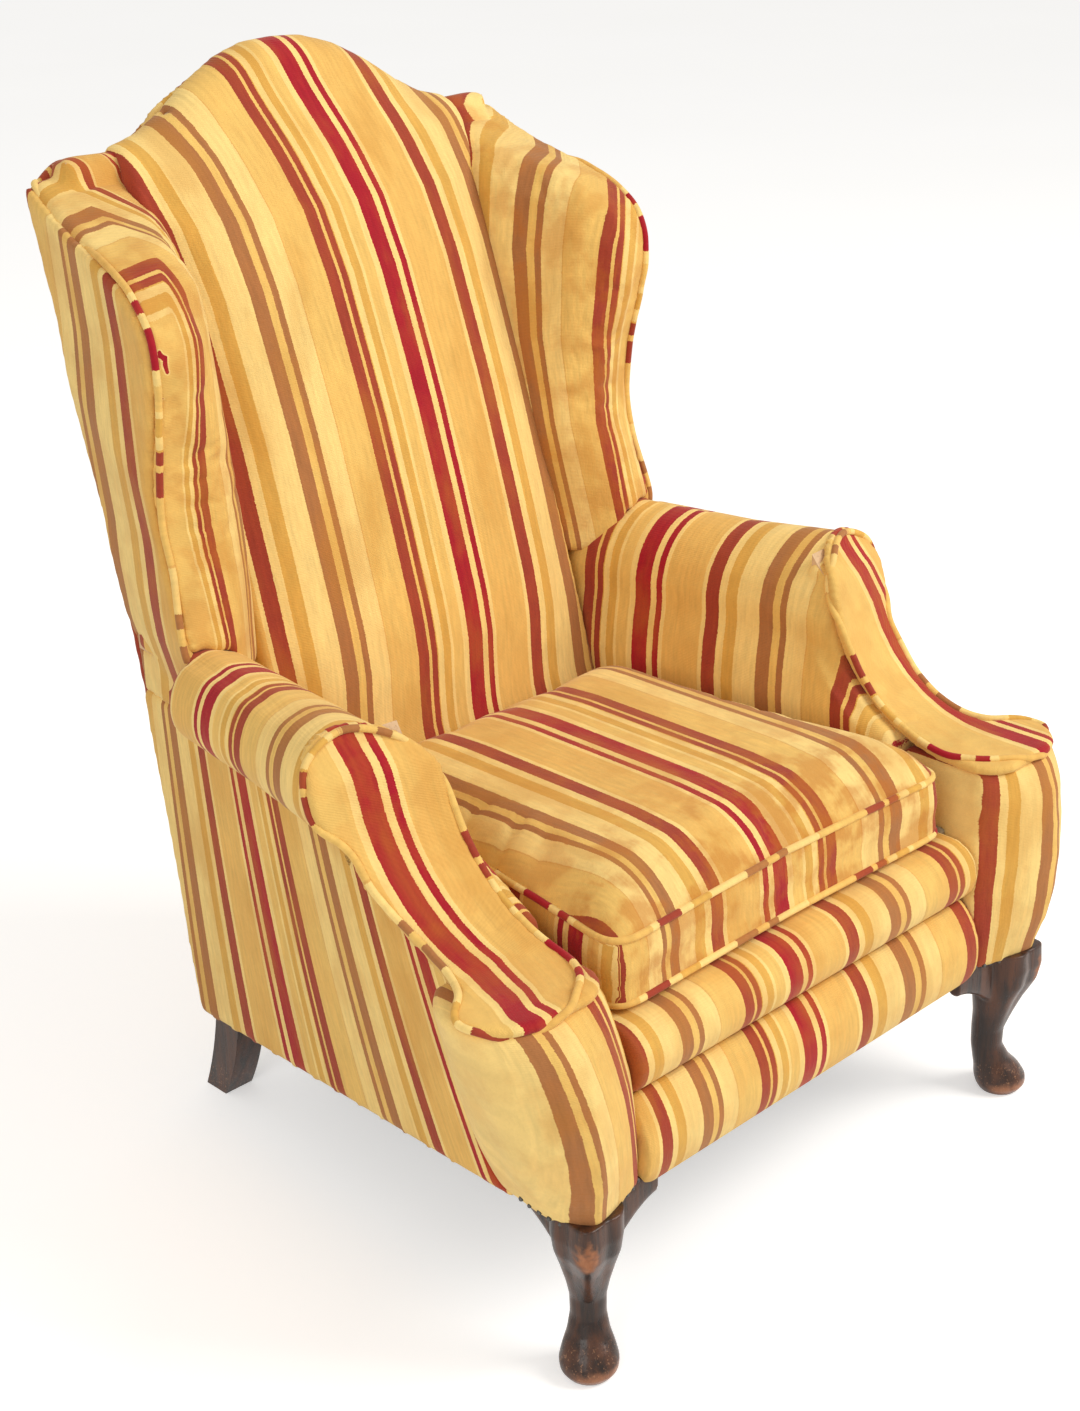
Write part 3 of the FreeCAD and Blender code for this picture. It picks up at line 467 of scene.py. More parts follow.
def velvet(name):
    """Striped velvet. The lay of the cloth gives the way across and along it, and where it is crushed."""
    cloth = Finish(name, Sheen_Weight=0.22, Sheen_Roughness=0.45, Sheen_Tint=(1.0, 0.86, 0.62, 1.0),
                   Specular_IOR_Level=0.15)
    across, along, crushed = cloth.axes(cloth.add("Attribute", {"attribute_name": "lay"}, {}, "Vector"))
    here = cloth.place()
    wander = cloth.clouds(here, 700.0, 2.0)
    place = (across + wander * fray - fray / 2) / repeat % 1.0
    yarn = cloth.add("ValToRGB", {"label": "stripes", "stops": stripe_stops()}, {0: place})
    broad = cloth.clouds(here, 9.0, 4.0)
    worn = cloth.clouds(here, 26.0, 6.0)
    fine = cloth.clouds(here, 260.0, 4.0)
    nap = cloth.clouds(cloth.place((1, 1, 0.3)), 520.0, 2.0)
    combed = cloth.add("CombineXYZ", {}, {0: across * 9.0, 1: along, 2: 0.0})
    streaks = cloth.clouds(combed, 26.0, 5.0)
    bruise = cloth.rise(worn * 0.8 + streaks * 0.2, 0.44, 0.6) * crushed
    tone = cloth.shade(yarn, 0.52 + broad * 0.22 + worn * 0.14 + fine * 0.12 + streaks * 0.5)
    tone = cloth.mix(bruise * 0.8, tone, cloth.mix(0.3, dye(184, 104, 28), yarn))
    drawn = cloth.add("CombineXYZ", {}, {0: across * 2.5, 1: along, 2: 0.3})
    aged = cloth.rise(cloth.clouds(drawn, 7.0, 5.0), 0.48, 0.7)
    tone = cloth.mix(aged * 0.5, tone, cloth.mix(0.35, dye(194, 128, 40), yarn))
    ribs = 0.5 + 0.5 * (along * (2 * math.pi / rib_pitch)).sine()
    # The colour is a little lighter on the crest of each rib: painted shade in the grooves between the ribs.
    # The nap is the pile's own uneven tone.
    cloth.to("Base Color", cloth.shade(tone, 0.95 + ribs * 0.03 + nap * 0.05))
    cloth.to("Roughness", 0.72 + nap * 0.18)
    height = ribs * 0.25 + nap * 0.5 + worn * crushed * 3.0 + fine * 0.4
    cloth.to("Normal", cloth.relief(height, pile_depth))
    return cloth.material


striped_velvet = velvet("striped_velvet")


# ---------------------------------------------------------------- Inside back
# The inside back is a reclined pad of fibre under velvet, full across the middle
# and soft over the camel-shaped crest.


def cover(name, nodes, grain, soften, plump=0.0015, ends=(), beyond=0.0):
    """The cover of a padded part, drawn over its form in even cloth-sized faces, plumped a little.
    It also takes in the ends of timbers beyond a distance from the middle plane."""
    form = bmesh.new()
    for node in ends:
        form.from_mesh(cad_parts[node].data)
        bmesh.ops.remove_doubles(form, verts=form.verts, dist=1e-5)
        way = math.copysign(1, beyond)
        bmesh.ops.bisect_plane(form, geom=form.verts[:] + form.edges[:] + form.faces[:], clear_inner=True,
                               plane_co=(beyond, 0, 0), plane_no=(way, 0, 0))
        bmesh.ops.holes_fill(form, edges=[edge for edge in form.edges if edge.is_boundary])
    for node in nodes:
        form.from_mesh(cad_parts[node].data)
    bmesh.ops.remove_doubles(form, verts=form.verts, dist=1e-5)
    mesh = bpy.data.meshes.new(name)
    form.to_mesh(mesh)
    form.free()
    piece = add_piece(name, mesh)
    even = piece.modifiers.new("even", "REMESH")
    even.mode = "VOXEL"
    even.voxel_size = grain
    even.use_smooth_shade = True
    settle(piece)
    if soften:
        smooth = piece.modifiers.new("soften", "SMOOTH")
        smooth.iterations = soften
        settle(piece)
    points = points_of(piece.data)
    move(piece, points + points_of(piece.data, "normal") * plump)
    return piece


def points_of(mesh, what="co"):
    """The points of a mesh, or its normals there, one row each."""
    numbers = np.empty(len(mesh.vertices) * 3, np.float32)
    mesh.vertices.foreach_get(what, numbers)
    return numbers.reshape(-1, 3).astype(float)


def move(piece, points):
    piece.data.vertices.foreach_set("co", points.astype(np.float32).ravel())
    piece.data.update()


def step(value, low, high):
    """0 below low, 1 above high, and a smooth step between."""
    share = np.clip((value - low) / (high - low), 0, 1)
    return share * share * (3 - 2 * share)


def swell(piece, cap, give):
    """Fills a sewn cover: the cloth swells under pressure, by cap at most, where give lets it."""
    before = points_of(piece.data)
    normals = points_of(piece.data, "normal")
    scene = bpy.context.scene
    filling = piece.modifiers.new("filling", "CLOTH")
    filling.settings.quality = 3
    filling.settings.use_pressure = True
    filling.settings.uniform_pressure_force = 4
    filling.settings.effector_weights.gravity = 0
    filling.collision_settings.use_collision = False
    for moment in range(1, 21):
        scene.frame_set(moment)
    after = points_of(piece.evaluated_get(bpy.context.evaluated_depsgraph_get()).data)
    piece.modifiers.clear()
    scene.frame_set(1)
    travel = after - before
    far = np.linalg.norm(travel, axis=1)
    hold = np.minimum(1, cap / np.maximum(far, 1e-9)) * give(*before.T, *normals.T)
    move(piece, before + travel * hold[:, None])


def from_line(points, line):
    """How far points are from a line through the given stops, all in metres."""
    nearest = np.full(len(points), 9.0)
    for start, end in zip(line, line[1:]):
        start, way = np.array(start), np.array(end) - np.array(start)
        share = np.clip((points - start) @ way / (way @ way), 0, 1)
        nearest = np.minimum(nearest, np.linalg.norm(points - start - share[:, None] * way, axis=1))
    return nearest


def tuck(piece, line, width, depth):
    """Draws the cloth in along a line, or lifts it into a fold where depth is negative."""
    points = points_of(piece.data)
    near = np.exp(-(from_line(points, line) / width) ** 2)
    move(piece, points - points_of(piece.data, "normal") * (depth * near)[:, None])


def lay(piece, across, along, crushed=0.15):
    """Lays the cloth: where a point falls across and along its stripes, and how crushed it is there."""
    points = points_of(piece.data)
    normals = points_of(piece.data, "normal")
    columns = [across(*points.T, *normals.T), along(*points.T), np.full(len(points), 1.0) * (
        crushed(*points.T) if callable(crushed) else crushed)]
    laid = piece.data.attributes.new("lay", "FLOAT_VECTOR", "POINT")
    laid.data.foreach_set("vector", np.stack(columns, 1).astype(np.float32).ravel())


def dress(piece, body, nodes, rounds=1):
    """Finishes a padded piece in the chair's velvet."""
    piece.data.materials.clear()
    piece.data.materials.append(striped_velvet)
    piece.data.shade_smooth()
    if rounds:
        finer = piece.modifiers.new("finer", "SUBSURF")
        finer.levels = rounds
        finer.render_levels = rounds
    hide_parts(*nodes)
    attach(piece, body)


back_cover = cover("inside_back_cover", ["inside_back"], grain=0.006, soften=6)
swell(back_cover, cap=0.013, give=lambda x, y, z, nx, ny, nz: (
    step(-ny, 0.1, 0.6) * step(0.225 - abs(x), 0, 0.06) * step(z, 0.42, 0.56) * step(1.12 - z, 0, 0.1)))


def height_of(x, y, z):
    return z


def back_lean(z):
    """Sideways drift of the stripes up the back, most over the crest."""
    return np.interp(z, (0.42, 0.50, 0.76, 0.91, 0.982, 1.052, 1.102, 1.147),
                     (-0.016, -0.005, 0, -0.002, -0.010, -0.031, -0.046, -0.058))


lay(back_cover, lambda x, y, z, *n: x - back_lean(z) + 0.1335, height_of, 0.12)
dress(back_cover, "chair", ["inside_back"])


# ---------------------------------------------------------------- Inside arms
# Each inside arm runs from the seat up over a rolled top to its outer edge, a
# thick pad on the arm board, with the cloth's stripes lying across the roll.

arm_lines = {"right": lambda x, y, z, *n: 0.272 - (y - 0.11 * (z - 0.5)),
             "left": lambda x, y, z, *n: 0.103 + 1.25 * (y - 0.024)}
for side, sign in sides.items():
    nodes = [node + side for node in ("inside_arm_", "arm_rail_", "arm_post_", "arm_sweep_board_")]
    arm = cover("inside_arm_cover_" + side, nodes, grain=0.005, soften=5, plump=0.0025)
    swell(arm, cap=0.006, give=lambda x, y, z, nx, ny, nz: (
        step(z, 0.36, 0.44) * step(-sign * nx + nz, -0.2, 0.5)))
    lay(arm, arm_lines[side], height_of, 0.1)
    dress(arm, "chair", ["inside_arm_" + side])


# ---------------------------------------------------------------- Wings
# The wings are padded boards that lean outwards. Their velvet runs from the
# inside back round a soft rolled front to a piped seam on the outside.

tear = ((-0.341, 0.163, 0.905), (-0.339, 0.162, 0.875), (-0.341, 0.169, 0.835))
tear_reach = 0.0085


def wing_front(z):
    """How far forward the wing's rolled front stands at a height."""
    return np.interp(z, (0.59, 0.66, 0.735, 0.82, 0.893, 0.93, 0.964),
                     (0.157, 0.180, 0.193, 0.182, 0.167, 0.178, 0.214))


def right_wing_line(x, y, z, *n):
    """Stripes stand up the inner side and round the front, and lean with the wing's edge."""
    junction = 0.205 + 0.157 * (z - 0.59) / 0.56
    nose = 0.150 + 0.055 * (z - 0.59) / 0.56
    length = np.hypot(0.065, junction - nose)
    outward, forward = 0.065 / length, (junction - nose) / length
    turned = (junction - wing_front(z) + 0.006) / forward + 0.08 * step(z, 0.925, 1.0)
    corner = np.minimum(0.232 + outward * turned, 0.300)
    reach = np.minimum(outward * (np.minimum(x, corner) - 0.232) + forward * (junction - y), turned)
    reach = reach + np.maximum(x - corner, 0)
    taupe = np.interp(z, (0.64, 0.70, 0.80, 0.90, 1.00), (-0.002, 0.0, 0.006, 0.024, 0.057))
    rust = np.interp(z, (0.64, 0.70, 0.80, 0.90, 0.98, 1.05), (0.071, 0.072, 0.092, 0.127, 0.159, 0.190))
    return 0.1025 * (reach - taupe) / (rust - taupe)


def left_wing_line(x, y, z, *n):
    """Stripes cross the top of the wing, and follow its edge down the rolled front."""
    over = 0.98 * (0.330 - y)
    over = 0.152 + (over - 0.152) * step(z, 0.90, 0.95)
    front = (0.150 + 0.3 * np.maximum(-0.300 - x, 0) - 1.9 * np.maximum(x + 0.319, 0)
             - np.maximum(y - wing_front(z) - 0.02, 0))
    line = np.minimum(over, front)
    torn = (from_line(np.stack([x, y, z], 1), tear) < tear_reach) & (z < 0.955)
    return np.where(torn, 0.181, line)


inside_wing_lines = {"right": right_wing_line, "left": left_wing_line}


def outside_wing_line(x, y, z, *n):
    """Stripes lean with the wing, more at its foot than at its top."""
    share = np.clip((z - 0.68) / 0.3, 0, 1.2)
    return (1 - share) * (0.1092 + 0.757 * y) + share * (0.0398 + 1.02 * y)


for side, sign in sides.items():
    wing = cover("inside_wing_cover_" + side, ["inside_wing_" + side, "wing_top_rail_" + side], grain=0.005,
                 soften=20, plump=0.0055, ends=["crest_rail"], beyond=sign * 0.222)
    swell(wing, cap=0.006, give=lambda x, y, z, nx, ny, nz: (
        step(-ny - sign * nx, 0.0, 0.7) * step(z, 0.6, 0.68)))
    points = points_of(wing.data)
    foot = step(0.625 - points[:, 2], 0, 0.03) * step(0.300 - abs(points[:, 0]), 0, 0.03)
    points[:, 2] -= 0.045 * foot
    move(wing, points)
    for low, high in ((0.655, 0.700), (0.668, 0.716), (0.640, 0.672)):
        tuck(wing, [(sign * 0.338, 0.176, low), (sign * 0.300, 0.178, high)], width=0.0035, depth=0.002)
    lay(wing, inside_wing_lines[side], height_of, 0.6)
    dress(wing, "chair", ["inside_wing_" + side])
    panel = cover("outside_wing_cover_" + side, ["outside_wing_" + side], grain=0.0035, soften=7,
                  plump=0.002)
    lay(panel, outside_wing_line, height_of, 0.3)
    dress(panel, "chair", ["outside_wing_" + side], 0)


# ---------------------------------------------------------------- Outside arms and back
# Flat velvet panels over a thin layer of wadding, blind-stitched and tacked to
# the frame, close the sides and the back.


def outside_arm_line(x, y, z, *n):
    """Stripes fan out a little from the rail up to the arm."""
    share = (z - 0.17) / 0.31
    return (1 - share) * (0.128 + 0.99 * y) + share * (0.024 + 1.29 * y)


for side in sides:
    panel = cover("outside_arm_cover_" + side, ["outside_arm_" + side], grain=0.004, soften=8, plump=0.002)
    lay(panel, outside_arm_line, height_of, 0.2)
    dress(panel, "chair", ["outside_arm_" + side], 0)
panel = cover("outside_back_cover", ["outside_back"], grain=0.0045, soften=6, plump=0.002)
points = points_of(panel.data)
points[:, 2] -= 0.040 * step(abs(points[:, 0]), 0.275, 0.345) * step(points[:, 2], 0.88, 1.05)
move(panel, points)
lay(panel, lambda x, y, z, *n: 0.172 - x, height_of, 0.2)
dress(panel, "chair", ["outside_back"], 0)


# ---------------------------------------------------------------- Facings and front panels
# A padded facing follows the hollow sweep from the scroll of the arm down to the
# toe. Below it the front panel swells out and turns under at the knee.

def slowed(value, low):
    """The same value, all but held below low, where the cloth lies plain."""
    return np.maximum(value, low + 0.1 * (value - low))


facing_middles = {
    "left": lambda x, y, z: np.interp(y, (-0.365, -0.340, -0.289), (-0.398, -0.387, -0.374)),
    "right": lambda x, y, z: np.interp(z, (0.42, 0.525, 0.575), (0.386, 0.390, 0.365))}
panel_lines = {
    "left": lambda x, y, z, *n: slowed(1.25 * (x + 0.408 - 0.223 * (0.406 - z)), -0.032),
    "right": lambda x, y, z, *n: 0.2795 + 1.17 * (x - np.interp(
        z, (0.200, 0.275, 0.290, 0.350, 0.406), (0.275, 0.278, 0.280, 0.290, 0.306)))}
facings = {}
inner_seam = ((0.376, -0.116, 0.606), (0.335, -0.130, 0.594), (0.303, -0.148, 0.560), (0.292, -0.178, 0.520),
              (0.290, -0.200, 0.488), (0.288, -0.233, 0.448), (0.291, -0.304, 0.418), (0.308, -0.352, 0.411),
              (0.332, -0.374, 0.410), (0.364, -0.388, 0.409), (0.404, -0.376, 0.405))
outer_seam = ((0.438, -0.348, 0.409), (0.438, -0.326, 0.411), (0.412, -0.301, 0.420), (0.400, -0.262, 0.430),
              (0.399, -0.212, 0.446), (0.404, -0.176, 0.476), (0.408, -0.150, 0.508), (0.430, -0.122, 0.540),
              (0.420, -0.112, 0.582))
panels = {}
for side, sign in sides.items():
    facing = cover("arm_facing_cover_" + side, ["arm_facing_" + side], grain=0.0035, soften=4, plump=0.0025)
    points = points_of(facing.data)
    limit = np.where(points[:, 1] > -0.292, np.interp(points[:, 2], (0.500, 0.530), (0.402, 0.432)), 0.442)
    points[:, 0] = sign * np.minimum(abs(points[:, 0]), limit)
    move(facing, points)
    for share in np.linspace(0.1, 0.74, 9):
        angle = math.radians(-12 - 66 * share)
        y, z = -0.340 + 0.183 * math.cos(angle) - 0.01, 0.592 + 0.183 * math.sin(angle)
        reach = 0.345 + 0.02 * math.sin(share * 40)
        tuck(facing, [(sign * 0.300, y, z + 0.004), (sign * reach, y, z)], width=0.004, depth=0.0032)
    middle = facing_middles[side]
    lay(facing, lambda x, y, z, *n: 0.181 + slowed(x - middle(x, y, z), -0.026), lambda x, y, z: z - y,
        crushed=0.35)
    dress(facing, "chair", ["arm_facing_" + side])
    facings[side] = facing
    panel = cover("front_panel_cover_" + side, ["front_panel_" + side], grain=0.005, soften=4)
    points = points_of(panel.data)
    ridge = np.exp(-(np.hypot(abs(points[:, 0]) - 0.352, points[:, 1] + 0.399) / 0.03) ** 2)
    ragged = 0.0013 * np.sin(900 * points[:, 0]) * np.sin(700 * points[:, 1])
    points[:, 2] -= (0.012 * ridge + ragged) * step(0.207 - points[:, 2], 0, 0.022)
    move(panel, points)
    lay(panel, panel_lines[side], height_of, 0.3)
    dress(panel, "chair", ["front_panel_" + side])
    panels[side] = panel


# ---------------------------------------------------------------- Front rolls
# Under the cushion are two stuffed rolls across the front rail: a lip above and
# a border below, parted by a stitched crease. The seat's pad lies behind them.

border = cover("front_border_cover", ["front_border_roll"], grain=0.005, soften=5)
lay(border, lambda x, y, z, *n: -0.402 * x * x + 1.080 * x + 0.2109, height_of, 0.3)
dress(border, "chair", ["front_border_roll"])
lip = cover("front_lip_cover", ["front_lip_roll"], grain=0.005, soften=5)
lay(lip, lambda x, y, z, *n: -0.195 * x * x + 1.078 * x + 0.2271, height_of, 0.3)
dress(lip, "chair", ["front_lip_roll"])

pad = cover("seat_stuffing_pad", ["seat_stuffing"], grain=0.006, soften=4)
pad.data.materials.clear()
pad.data.materials.append(fibre_finish)
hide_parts("seat_stuffing")
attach(pad, "chair")


# ---------------------------------------------------------------- Loose cushion
# The seat cushion is boxed and filled full, crowned in the middle, with its
# sides drawn in between round corners and a piped seam at top and bottom.

seat = cover("cushion_velvet", ["cushion_filling"], grain=0.006, soften=5)
cushion_seams = {"lower": 0.3475, "upper": 0.4135}


def cushion_line(x, y, z, nx, ny, nz):
    """Stripes front to back over the top and down the front, and round the sides at the boxing."""
    across = 0.172 - np.interp(x, (-0.262, -0.15, 0.262), (-0.3025, -0.15, 0.262))
    edge = np.where(x < 0, -0.3025, 0.262)
    round_side = 0.172 - edge - np.sign(x) * (y + 0.35)
    return np.where((z < cushion_seams["upper"]) & (abs(nx) > abs(ny)), round_side, across)


swell(seat, cap=0.010, give=lambda x, y, z, nx, ny, nz: step(z, 0.34, 0.37))
lay(seat, cushion_line, lambda x, y, z: y + z, lambda x, y, z: 0.3 + 0.7 * step(-y, 0.16, 0.32))
dress(seat, "seat_cushion", ["cushion_filling", "cushion_cover"])


# ---------------------------------------------------------------- Piping
# Covered cord, cut on the bias from the same velvet, is sewn into the seams of
# the wings, the facings and the cushion.

cord_radius = 0.0038
cord_bias = 0.55              # how fast the stripes pass along the cord


def piping_tree():
    """Tube along a path, with the cloth laid along it."""
    tree = bpy.data.node_groups.new("piping", "GeometryNodeTree")
    tree.interface.new_socket("Path", in_out="INPUT", socket_type="NodeSocketGeometry")
    thick = tree.interface.new_socket("Cord radius", in_out="INPUT", socket_type="NodeSocketFloat")
    finish = tree.interface.new_socket("Cloth", in_out="INPUT", socket_type="NodeSocketMaterial")
    tree.interface.new_socket("Piping", in_out="OUTPUT", socket_type="NodeSocketGeometry")
    new = tree.nodes.new
    given = new("NodeGroupInput")
    made = new("NodeGroupOutput")
    length = new("GeometryNodeSplineParameter")
    laid = new("ShaderNodeCombineXYZ")
    store = new("GeometryNodeStoreNamedAttribute")
    store.data_type = "FLOAT_VECTOR"
    store.inputs["Name"].default_value = "lay"
    section = new("GeometryNodeCurvePrimitiveCircle")
    section.inputs["Resolution"].default_value = 12
    tube = new("GeometryNodeCurveToMesh")
    tube.inputs["Fill Caps"].default_value = True
    real = new("GeometryNodeRealizeInstances")
    paint = new("GeometryNodeSetMaterial")
    link = tree.links.new
    link(given.outputs["Path"], store.inputs["Geometry"])
    spread = new("ShaderNodeMath")
    spread.operation = "MULTIPLY"
    spread.inputs[1].default_value = cord_bias
    link(length.outputs["Length"], spread.inputs[0])
    link(spread.outputs[0], laid.inputs[0])
    link(laid.outputs[0], store.inputs["Value"])
    link(store.outputs["Geometry"], tube.inputs["Curve"])
    link(given.outputs["Cord radius"], section.inputs["Radius"])
    link(section.outputs["Curve"], tube.inputs["Profile Curve"])
    link(tube.outputs["Mesh"], real.inputs["Geometry"])
    link(real.outputs["Geometry"], paint.inputs["Geometry"])
    link(given.outputs["Cloth"], paint.inputs["Material"])
    link(paint.outputs["Geometry"], made.inputs[0])
    return tree, thick.identifier, finish.identifier


cord_tree, cord_thick, cord_cloth = piping_tree()


def eased(stops, closed, spacing=0.006):
    """Points evenly along a smooth line through the stops."""
    stops = [np.array(stop, float) for stop in stops]
    ends = [stops[-1]] + stops + stops[:2] if closed else [stops[0]] + stops + [stops[-1]]
    line = []
    for a, b, c, d in zip(ends, ends[1:], ends[2:], ends[3:]):
        for share in np.arange(0, 1, spacing / max(np.linalg.norm(c - b), spacing)):
            line.append(0.5 * (2 * b + (c - a) * share + (2 * a - 5 * b + 4 * c - d) * share ** 2
                               + (3 * b - a - 3 * c + d) * share ** 3))
    return line if closed else line + [stops[-1]]


def seated(line, pieces, lift):
    """A line pressed onto the nearest cloth and lifted off it by a little."""
    trees = []
    for piece in pieces:
        points = [vertex.co for vertex in piece.data.vertices]
        trees.append(BVHTree.FromPolygons(points, [face.vertices for face in piece.data.polygons]))
    pressed = []
    for point in line:
        found = min((tree.find_nearest(Vector(point)) for tree in trees), key=lambda hit: hit[3])
        pressed.append(np.array(found[0]) + np.array(found[1]) * lift)
    return pressed


def relaxed(line, closed, rounds=4):
    """The same line with its small kinks drawn out."""
    line = np.array(line)
    for turn in range(rounds):
        middle = (np.roll(line, 1, 0) + np.roll(line, -1, 0)) / 2
        if not closed:
            middle[0], middle[-1] = line[0], line[-1]
        line = line * 0.5 + middle * 0.5
    return line


def path_of(name, line, closed):
    """A curve along a line, for a tree to follow."""
    curve = bpy.data.curves.new(name, "CURVE")
    curve.dimensions = "3D"
    run = curve.splines.new("POLY")
    run.points.add(len(line) - 1)
    run.points.foreach_set("co", np.c_[line, np.ones(len(line))].ravel())
    run.use_cyclic_u = closed
    return add_piece(name, curve)


def realised(path, tree, inputs, name):
    """The plain mesh that a tree makes of a path."""
    maker = path.modifiers.new("maker", "NODES")
    maker.node_group = tree
    for identifier, value in inputs.items():
        maker[identifier] = value
    bpy.context.view_layer.update()
    mesh = bpy.data.meshes.new_from_object(path.evaluated_get(bpy.context.evaluated_depsgraph_get()))
    bpy.data.objects.remove(path)
    mesh.name = name
    return add_piece(name, mesh)


def pipe(name, line, closed, body, nodes=()):
    """Sews a covered cord along a line."""
    cord = realised(path_of(name + "_path", line, closed), cord_tree,
                    {cord_thick: cord_radius, cord_cloth: striped_velvet}, name)
    cord.data.shade_smooth()
    if nodes:
        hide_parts(*nodes)
    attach(cord, body)


wing_seam = ((0.356, 0.157, 0.585), (0.351, 0.163, 0.606), (0.340, 0.186, 0.674), (0.341, 0.195, 0.726),
             (0.341, 0.187, 0.804), (0.348, 0.171, 0.849), (0.350, 0.167, 0.899), (0.348, 0.179, 0.931),
             (0.346, 0.206, 0.959), (0.342, 0.235, 0.974), (0.320, 0.347, 1.007), (0.317, 0.422, 1.052))
for side, sign in sides.items():
    stops = [(sign * x, y, z) for x, y, z in wing_seam]
    covers = [bpy.data.objects["inside_wing_cover_" + side], bpy.data.objects["outside_wing_cover_" + side]]
    line = relaxed(seated(eased(stops, False), covers, 0.001), False)
    pipe("wing_seam_piping_" + side, line, False, "chair", ["wing_piping_" + side])


for side, sign in sides.items():
    stops = [(sign * x, y, z) for x, y, z in inner_seam + outer_seam]
    line = relaxed(seated(eased(stops, True), [facings[side]], 0.0012), True)
    pipe("facing_piping_" + side, line, True, "chair")


def seam_round(piece, height):
    """Line round a cushion at a height, found from outside on its own surface."""
    points = [vertex.co for vertex in piece.data.vertices]
    skin = BVHTree.FromPolygons(points, [face.vertices for face in piece.data.polygons])
    low, high = np.min(points, 0), np.max(points, 0)
    centre = Vector(((low[0] + high[0]) / 2, (low[1] + high[1]) / 2, height))
    line = []
    for turn in np.linspace(0, 2 * math.pi, 361)[:-1]:
        way = Vector((math.cos(turn), math.sin(turn), 0))
        hit = skin.ray_cast(centre + way, -way)[0]
        line.append(np.array(hit + way * 0.0008))
    return relaxed(line, True)


for name, height in cushion_seams.items():
    pipe("cushion_piping_" + name, seam_round(seat, height), True, "seat_cushion",
         ["cushion_piping"] if name == "upper" else [])


# ---------------------------------------------------------------- Tacks and stitches
# Blind tacks with black heads hold the ragged lower edge of the front panels to
# the knees. A row of hand stitches closes the crease between the front rolls.


def row_tree():
    """Sets a small rounded form at even steps along a path, each a little different."""
    tree = bpy.data.node_groups.new("row_along", "GeometryNodeTree")
    tree.interface.new_socket("Path", in_out="INPUT", socket_type="NodeSocketGeometry")
    inputs = [tree.interface.new_socket(label, in_out="INPUT", socket_type="NodeSocket" + kind)
              for label, kind in (("Step", "Float"), ("Length", "Float"), ("Thickness", "Float"),
                                  ("Finish", "Material"))]
    tree.interface.new_socket("Row", in_out="OUTPUT", socket_type="NodeSocketGeometry")
    new = tree.nodes.new
    link = tree.links.new
    given = new("NodeGroupInput")
    stops = new("GeometryNodeCurveToPoints")
    stops.mode = "LENGTH"
    head = new("GeometryNodeMeshUVSphere")
    head.inputs["Segments"].default_value = 8
    head.inputs["Rings"].default_value = 6
    head.inputs["Radius"].default_value = 1.0
    size = new("ShaderNodeCombineXYZ")
    vary = new("FunctionNodeRandomValue")
    vary.data_type = "FLOAT"
    vary.inputs[2].default_value = 0.82
    vary.inputs[3].default_value = 1.12
    vary.inputs["Seed"].default_value = 7
    sized = new("ShaderNodeVectorMath")
    sized.operation = "SCALE"
    turn = new("FunctionNodeAlignRotationToVector")
    turn.axis = "X"
    place = new("GeometryNodeInstanceOnPoints")
    real = new("GeometryNodeRealizeInstances")
    paint = new("GeometryNodeSetMaterial")
    made = new("NodeGroupOutput")
    link(given.outputs["Path"], stops.inputs["Curve"])
    link(given.outputs["Step"], stops.inputs["Length"])
    link(given.outputs["Length"], size.inputs[0])
    link(given.outputs["Thickness"], size.inputs[1])
    link(given.outputs["Thickness"], size.inputs[2])
    link(size.outputs[0], sized.inputs[0])
    link(vary.outputs[1], sized.inputs["Scale"])
    link(stops.outputs["Tangent"], turn.inputs["Vector"])
    link(stops.outputs["Points"], place.inputs["Points"])
    link(head.outputs["Mesh"], place.inputs["Instance"])
    link(turn.outputs["Rotation"], place.inputs["Rotation"])
    link(sized.outputs[0], place.inputs["Scale"])
    link(place.outputs["Instances"], real.inputs["Geometry"])
    link(real.outputs["Geometry"], paint.inputs["Geometry"])
    link(given.outputs["Finish"], paint.inputs["Material"])
    link(paint.outputs["Geometry"], made.inputs[0])
    return tree, [entry.identifier for entry in inputs]


def row(name, line, sizes, finish):
    """One row of tacks or stitches: step, half length and half thickness along a line."""
    values = dict(zip(row_inputs, (*sizes, finish)))
    piece = realised(path_of(name + "_path", line, False), row_along, values, name)
    piece.data.shade_smooth()
    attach(piece, "chair")


def thread():
    """Waxed linen thread, twisted."""
    linen = Finish("linen_thread", Specular_IOR_Level=0.3)
    twist = linen.clouds(linen.place((9, 1, 1)), 900.0, 2.0)
    linen.to("Base Color", linen.mix(twist, dye(150, 108, 58), dye(206, 164, 98)))
    linen.to("Roughness", 0.55 + twist * 0.25)
    linen.to("Normal", linen.relief(twist, 0.0002))
    return linen.material


row_along, row_inputs = row_tree()
black_iron = metal("black_iron", dye(30, 27, 26), 0.45)
knee_edge = ((0.276, -0.388, 0.187), (0.316, -0.400, 0.183), (0.352, -0.402, 0.174), (0.376, -0.372, 0.183),
             (0.384, -0.335, 0.187))
for side, sign in sides.items():
    edge = [(sign * x, y, z) for x, y, z in knee_edge]
    row("knee_tacks_" + side, seated(eased(edge, False), [panels[side]], 0.0004), (0.011, 0.0026, 0.0026),
        black_iron)
crease = [(x, -0.364, 0.270) for x in np.linspace(-0.262, 0.262, 60)]
row("crease_stitches", seated(crease, [lip, border], 0.0006), (0.0085, 0.0026, 0.0006), thread())


# ---------------------------------------------------------------- Studio
# A plain white floor, soft light from the front and above, and a camera in
# front of the chair to its left.


paper_glow = 0.42             # lifts the paper to white for the camera alone
sky_level = 0.55
sky_seen = 0.92               # the sky as the camera and mirrors see it


